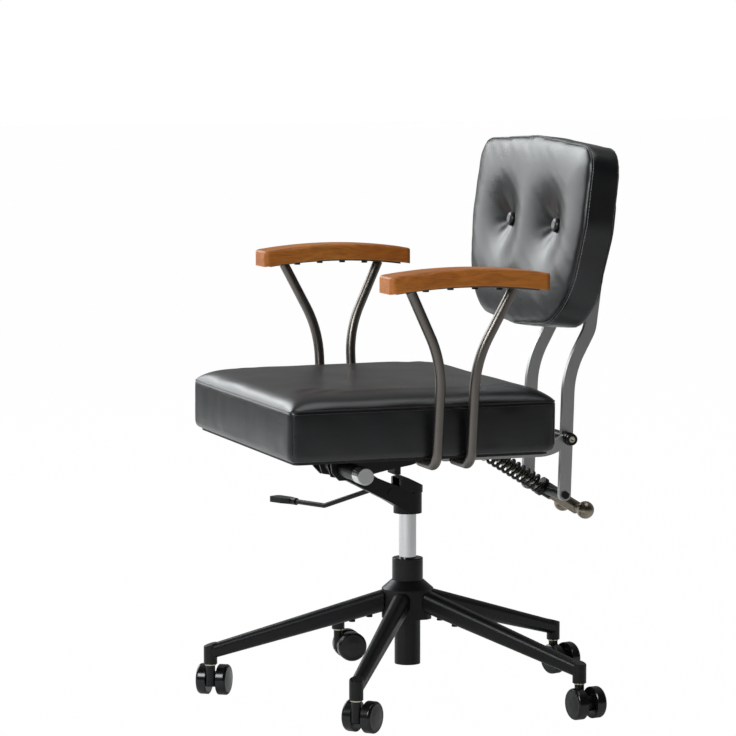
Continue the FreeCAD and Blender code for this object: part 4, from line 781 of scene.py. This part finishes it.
def back_wrinkles(piece):
    """Fine pulled lines across the panel, short folds at the buttons and low waves in the boxing."""
    for vertex in piece.data.vertices:
        place = vertex.co
        normal = vertex.normal
        if normal.z > 0.3 and place.z > BUTTON_FLOOR - 0.002:
            lift = 0.0
            for side in (-1, 1):
                x = place.x - side * BUTTON_X
                y = place.y - BUTTON_UP
                reach = math.hypot(x, y)
                fan = math.sin(math.atan2(y, x) * 9 + side * 0.8 + reach * 9)
                lift += fan * 0.0007 * ramp(reach, 0.012, 0.02) * ramp(0.05 - reach, 0.0, 0.03)
            along, across = place.dot(PULL_ALONG), place.dot(PULL_ACROSS)
            pulled = noise.noise(Vector((along * 5, across * 55, 9.0))) * 0.0006
            soft = noise.noise(Vector((place.x * 12, place.y * 12, 2.0))) * 0.0006
            vertex.co = place + normal * (lift + pulled + soft)
        elif abs(normal.z) < 0.5:
            wave = noise.noise(Vector((place.x * 22, place.y * 22, place.z * 8))) * 0.0012
            height = (place.z - BACK_DEPTH + BACK_BOXING) / BACK_BOXING
            vertex.co = place + normal * (wave * ramp(height, 0.0, 0.3) * ramp(1.0 - height, 0.0, 0.3))


def back_cushion():
    piece, outline = back_block()
    remesh(piece, VOXEL * 0.9)
    foam_front(piece, outline)
    def sewn(co):
        if co.z < BACK_DEPTH - BACK_BOXING + 0.002 or button_distance(co) < BUTTON_R * 1.3:
            return True
        return abs(co.z - (BACK_DEPTH - SEAM_BELOW)) < SEAM_BAND and at_outline(co, outline)
    blow_up(piece, sewn, AIR_PRESSURE, BACK_SWELL)
    crown_to(piece, BACK_DEPTH, BACK_CROWN)
    smooth_cover(piece, 5)
    back_wrinkles(piece)
    subdivide_cover(piece)
    piece.data.transform(LEANED)
    dress(piece, "back_cover", "back", LEATHER)
    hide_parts("back_cushion")
    return piece, outline


def at_outline(co, outline):
    """True where a point is within a few millimetres of the sewn edge."""
    return edge_distance(co, outline) < 0.007


def edge_distance(co, outline):
    return min(segment_distance(co, a, b) for a, b in zip(outline, outline[1:] + outline[:1]))


def segment_distance(co, a, b):
    edge = Vector((b.x - a.x, b.y - a.y))
    step = Vector((co.x - a.x, co.y - a.y))
    share = min(max(step.dot(edge) / max(edge.length_squared, 1e-12), 0.0), 1.0)
    return (step - edge * share).length


BACK_COVER, BACK_OUTLINE = back_cushion()

# %% [markdown]
# The two buttons are metal caps with leather pressed over them: a short drum whose rim is bevelled until it
# is a dome, then smoothed by a subdivision.

# %% Buttons
BUTTON_TALL = 0.0075
BUTTON_RIM_R = 0.005


def button_cap(side):
    bpy.ops.object.select_all(action="DESELECT")
    bpy.ops.mesh.primitive_cylinder_add(vertices=28, radius=BUTTON_R, depth=BUTTON_TALL)
    cap = bpy.context.object
    cap.location = (side * BUTTON_X, BUTTON_UP, BUTTON_FLOOR + BUTTON_TALL / 2)
    settle(cap)
    top = BUTTON_FLOOR + BUTTON_TALL
    round_edges(cap, lambda a, b: min(a.z, b.z) > top - 0.0005, BUTTON_RIM_R, 5)
    bpy.ops.object.mode_set(mode="EDIT")
    bpy.ops.mesh.select_mode(type="FACE")
    bpy.ops.mesh.select_all(action="DESELECT")
    bpy.ops.object.mode_set(mode="OBJECT")
    for face in cap.data.polygons:
        face.select = face.center.z > top - 0.0005
    bpy.ops.object.mode_set(mode="EDIT")
    bpy.ops.mesh.inset(thickness=0.0025, depth=0.0006)
    bpy.ops.object.mode_set(mode="OBJECT")
    apply_modifier(cap, "SUBSURF", levels=2, render_levels=2)
    bpy.ops.object.shade_smooth()
    cap.data.transform(LEANED)
    return cap


def back_buttons():
    caps = [button_cap(side) for side in (-1, 1)]
    make_active(caps[0])
    caps[1].select_set(True)
    bpy.ops.object.join()
    dress(caps[0], "leather_buttons", "back", LEATHER)
    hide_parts("back_buttons")


back_buttons()

# %% [markdown]
# The near cap of the torsion tube ends in a white disc, pressed into the metal. It is a thin drum with a
# bevelled rim, laid against the cap's face.

# %% White disc on the torsion cap
DISC_THICK = 0.001
DISC_RIM = 0.0012


def cap_disc():
    low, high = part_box("torsion_caps")
    centre = (high.x + DISC_THICK / 2, (low.y + high.y) / 2, (low.z + high.z) / 2)
    radius = (high.z - low.z) / 2 - DISC_RIM
    bpy.ops.object.select_all(action="DESELECT")
    turn = (0, math.pi / 2, 0)
    drum = {"vertices": 48, "radius": radius, "depth": DISC_THICK}
    bpy.ops.mesh.primitive_cylinder_add(**drum, location=centre, rotation=turn)
    disc = bpy.context.object
    settle(disc)
    round_edges(disc, lambda a, b: min(a.x, b.x) > high.x + DISC_THICK * 0.9, DISC_THICK * 0.6, 3)
    white = coated("white_disc", (0.86, 0.86, 0.85), 0.3, 900.0, 0.02, (0.9, 0.9, 0.9))
    dress(disc, "cap_disc", "mechanism", white)


cap_disc()

# %% [markdown]
# The recline spring sits on its rod, between the rod's cup and the cross block on the back bars. When the
# back leans, the block slides up the rod and the coil shortens. Here the spring is only given its own copy
# of its mesh; its coil is not squeezed.


def squeeze_spring():
    spring = frame["nodes"]["spring"]
    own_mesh(spring)


squeeze_spring()

# %% [markdown]
# Seams make a cushion believable. Each one has a narrow welt where two panels are folded together, and a row
# of stitches beside it. Both follow points on the finished cover: a wanted line is walked in even steps and
# each step is moved to the nearest place on the cover.

# %% Seam helpers
STITCH_LENGTH = 0.0036
STITCH_PITCH = 0.0054
STITCH_R = 0.00055
WELT_R = 0.0011


def even_steps(points, spacing, closed=True):
    """Points along a line at one spacing."""
    line = points + points[:1] if closed else points
    lengths = [(b - a).length for a, b in zip(line, line[1:])]
    total = sum(lengths)
    count = max(int(total / spacing), 2)
    steps = []
    index = 0
    passed = 0.0
    for k in range(count if closed else count + 1):
        wanted = total * k / count
        while index < len(lengths) - 1 and passed + lengths[index] < wanted:
            passed += lengths[index]
            index += 1
        share = (wanted - passed) / max(lengths[index], 1e-9)
        steps.append(line[index].lerp(line[index + 1], min(max(share, 0.0), 1.0)))
    return steps


def on_cover(cover, points):
    """Each point moved to the cover, with the cover's normal there."""
    found = []
    for point in points:
        found.append(cover.closest_point_on_mesh(point)[1:3])
    return found


def one_stitch(length, radius):
    """A short thread, thick in the middle and drawn in at both ends."""
    bpy.ops.object.select_all(action="DESELECT")
    turn = (0, math.pi / 2, 0)
    bpy.ops.mesh.primitive_cylinder_add(vertices=6, radius=radius, depth=length, rotation=turn)
    stitch = bpy.context.object
    settle(stitch)
    bpy.ops.object.mode_set(mode="EDIT")
    bpy.ops.mesh.select_mode(type="FACE")
    bpy.ops.mesh.select_all(action="DESELECT")
    bpy.ops.object.mode_set(mode="OBJECT")
    for face in stitch.data.polygons:
        face.select = abs(face.center.x) > length * 0.4
    bpy.ops.object.mode_set(mode="EDIT")
    bpy.ops.mesh.inset(thickness=radius * 0.45, depth=radius * 0.6, use_individual=True)
    bpy.ops.object.mode_set(mode="OBJECT")
    bpy.ops.object.shade_smooth()
    return stitch


def stitch_row(name, cover, line, body, material, closed=True):
    model = one_stitch(STITCH_LENGTH, STITCH_R)
    places = on_cover(cover, even_steps(line, STITCH_PITCH, closed))
    count = len(places)
    copies = []
    for k in range(count if closed else count - 1):
        place, normal = places[k]
        along = (places[(k + 1) % count][0] - place).normalized()
        across = normal.cross(along).normalized()
        upward = along.cross(across).normalized()
        copy = model.copy()
        copy.data = model.data.copy()
        centre = place + along * (STITCH_PITCH / 2) + normal * (STITCH_R * 0.35)
        turn = Matrix((along, across, upward)).transposed().to_4x4()
        copy.data.transform(Matrix.Translation(centre) @ turn)
        bpy.context.scene.collection.objects.link(copy)
        copies.append(copy)
    bpy.data.objects.remove(model)
    make_active(copies[0])
    for copy in copies:
        copy.select_set(True)
    bpy.ops.object.join()
    return dress(copies[0], name, body, material)


def welt(name, cover, line, body, closed=True, radius=WELT_R):
    """A thin roll of leather along a seam, half sunk into the cover."""
    curve = bpy.data.curves.new(name, "CURVE")
    curve.dimensions = "3D"
    curve.bevel_depth = radius
    curve.bevel_resolution = 2
    spline = curve.splines.new("POLY")
    places = on_cover(cover, even_steps(line, 0.004, closed))
    spline.points.add(len(places) - 1)
    for point, (place, normal) in zip(spline.points, places):
        point.co = (*(place + normal * (radius * 0.2)), 1)
    spline.use_cyclic_u = closed
    roll = bpy.data.objects.new(name, curve)
    bpy.context.scene.collection.objects.link(roll)
    make_active(roll)
    bpy.ops.object.convert(target="MESH")
    bpy.ops.object.shade_smooth()
    return dress(bpy.context.object, name, body, LEATHER)


# %% [markdown]
# On the seat the top panel meets the boxing along its upper edge, and the boxing is joined at the four
# corners. The stitches sit on the boxing, just below and just beside those seams.

# %% Seat seams
def seat_edge(height):
    """The seat's outline at a height: straight sides and round corners."""
    half = SEAT_HIGH.x
    corners = [
        (-half + SEAT_FRONT_R, SEAT_LOW.y + SEAT_FRONT_R, SEAT_FRONT_R, 180),
        (half - SEAT_FRONT_R, SEAT_LOW.y + SEAT_FRONT_R, SEAT_FRONT_R, 270),
        (half - SEAT_REAR_R, SEAT_HIGH.y - SEAT_REAR_R, SEAT_REAR_R, 0),
        (-half + SEAT_REAR_R, SEAT_HIGH.y - SEAT_REAR_R, SEAT_REAR_R, 90),
    ]
    points = []
    for x, y, radius, start in corners:
        for step in range(9):
            angle = math.radians(start + step * 90 / 8)
            points.append(Vector((x + radius * math.cos(angle), y + radius * math.sin(angle), height)))
    return points


def seat_corner(x_side, front, beside):
    """An upright line at one corner, moved along the side panel by a distance."""
    radius = SEAT_FRONT_R if front else SEAT_REAR_R
    reach = radius * (1 - math.sqrt(0.5))
    x = x_side * (SEAT_HIGH.x - reach)
    y = SEAT_LOW.y + reach if front else SEAT_HIGH.y - reach
    y += beside if front else -beside
    return [Vector((x, y, z)) for z in (SEAT_SEAM_Z - 0.006, SEAT_LOW.z + 0.012)]


def seat_seams():
    welt("seat_top_welt", SEAT_COVER, seat_edge(SEAT_SEAM_Z - 0.001), "seat")
    stitch_row("seat_top_stitches", SEAT_COVER, seat_edge(SEAT_SEAM_Z - 0.0065), "seat", DARK_THREAD)
    for x_side, hand in ((-1, "right"), (1, "left")):
        for front, end in ((True, "front"), (False, "rear")):
            name = "seat_%s_%s" % (end, hand)
            line = seat_corner(x_side, front, 0.0)
            welt(name + "_welt", SEAT_COVER, line, "seat", closed=False, radius=WELT_R * 0.8)
            beside = seat_corner(x_side, front, 0.0055)
            stitch_row(name + "_stitches", SEAT_COVER, beside, "seat", DARK_THREAD, closed=False)


seat_seams()

# %% [markdown]
# The back's front panel is edged by a welt with a paler thread beside it, which shows as a fine light line
# round the whole panel.

# %% Back seams
def back_edge(forward):
    """The back's outline at a depth, leaned into place."""
    return [LEANED @ Vector((p.x, p.y, forward)) for p in BACK_OUTLINE]


def back_seams():
    welt("back_front_welt", BACK_COVER, back_edge(BACK_DEPTH - 0.001), "back")
    stitch_row("back_front_stitches", BACK_COVER, back_edge(BACK_DEPTH - 0.0045), "back", PALE_THREAD)
    welt("back_rear_welt", BACK_COVER, back_edge(BACK_DEPTH - BACK_BOXING), "back")


back_seams()

# %% [markdown]
# The studio is plain: a pale floor, a wide soft window beyond the chair on its right hand, a weaker one below
# it, a fill from the front and a lamp above. From the camera the leather's front faces mirror the windows,
# which is why they shine while the side panels, which face the dim side of the room, stay nearly black.
# The floor and the world are white for the camera, and dimmer in mirrors, so that black pieces stay black.

# %% Floor, lamps and world
def pale_floor():
    bpy.ops.object.select_all(action="DESELECT")
    bpy.ops.mesh.primitive_plane_add(size=60, location=(0, 0, 0))
    floor = bpy.context.object
    floor.name = "floor"
    material, tree, shader = new_material("pale_floor")
    feed(tree, shader, Base_Color=(0.85, 0.85, 0.85, 1), Roughness=0.9, Specular_IOR_Level=0.1)
    glow = add_node(tree, "Emission", {"Color": (1, 1, 1, 1), "Strength": 1.0})
    seen = seen_as_background(tree, 0.99, 0.13)
    mix = add_node(tree, "MixShader", {0: seen, 1: shader.outputs[0], 2: glow.outputs[0]})
    output = next(n for n in tree.nodes if n.type == "OUTPUT_MATERIAL")
    tree.links.new(mix.outputs[0], output.inputs["Surface"])
    floor.data.materials.append(material)


def seen_as_background(tree, to_camera, in_mirrors):
    """A share for the rays that show the background: straight to the camera, mirrored or through glass."""
    path = add_node(tree, "LightPath")
    mirrored = math_node(tree, "ADD", path.outputs["Is Glossy Ray"], path.outputs["Is Transmission Ray"])
    direct = math_node(tree, "MULTIPLY", path.outputs["Is Camera Ray"], to_camera)
    return math_node(tree, "ADD", direct, math_node(tree, "MULTIPLY", mirrored, in_mirrors), clamp=True)


def soft_lamp(name, place, target, size, power):
    bpy.ops.object.light_add(type="AREA", location=place)
    lamp = bpy.context.object
    lamp.name = name
    lamp.data.shape = "RECTANGLE"
    lamp.data.size, lamp.data.size_y = size
    lamp.data.energy = power
    lamp.data.color = (0.95, 0.985, 1.0)
    lamp.rotation_mode = "QUATERNION"
    lamp.rotation_quaternion = (Vector(target) - Vector(place)).to_track_quat("-Z", "Y")


def studio_world():
    """White for the camera; for other rays bright beyond the chair and dim on the camera's side."""
    world = bpy.data.worlds.new("studio")
    bpy.context.scene.world = world
    world.use_nodes = True
    tree = world.node_tree
    tree.nodes.clear()
    direction = add_node(tree, "TexCoord").outputs["Generated"]
    beyond = (-TOWARDS_CAMERA).normalized()
    pair = {0: direction, 1: tuple(beyond)}
    facing = add_node(tree, "VectorMath", pair, operation="DOT_PRODUCT").outputs["Value"]
    room = remap(tree, facing, -0.2, 0.6, 0.035, 0.26)
    path = add_node(tree, "LightPath")
    links = {0: path.outputs["Is Camera Ray"], 2: room, 3: 1.0}
    strength = add_node(tree, "Mix", links, data_type="FLOAT").outputs[0]
    back = add_node(tree, "Background", {"Color": (1, 1, 1, 1), "Strength": strength})
    output = tree.nodes.new("ShaderNodeOutputWorld")
    tree.links.new(back.outputs[0], output.inputs["Surface"])


pale_floor()
soft_lamp("window", (-2.6, -1.5, 2.25), (0, 0, 0.65), (2.6, 1.4), 62.0)
soft_lamp("low_window", (-2.6, -1.5, 1.15), (0, 0, 0.65), (2.6, 1.0), 18.0)
soft_lamp("front_fill", (1.6, -2.6, 2.0), (0, 0, 0.6), (1.2, 1.2), 60.0)
soft_lamp("top_softbox", (0.3, 0.3, 3.4), (0, 0, 0.4), (2.0, 2.0), 25.0)
studio_world()
bpy.context.scene.view_settings.view_transform = "Standard"
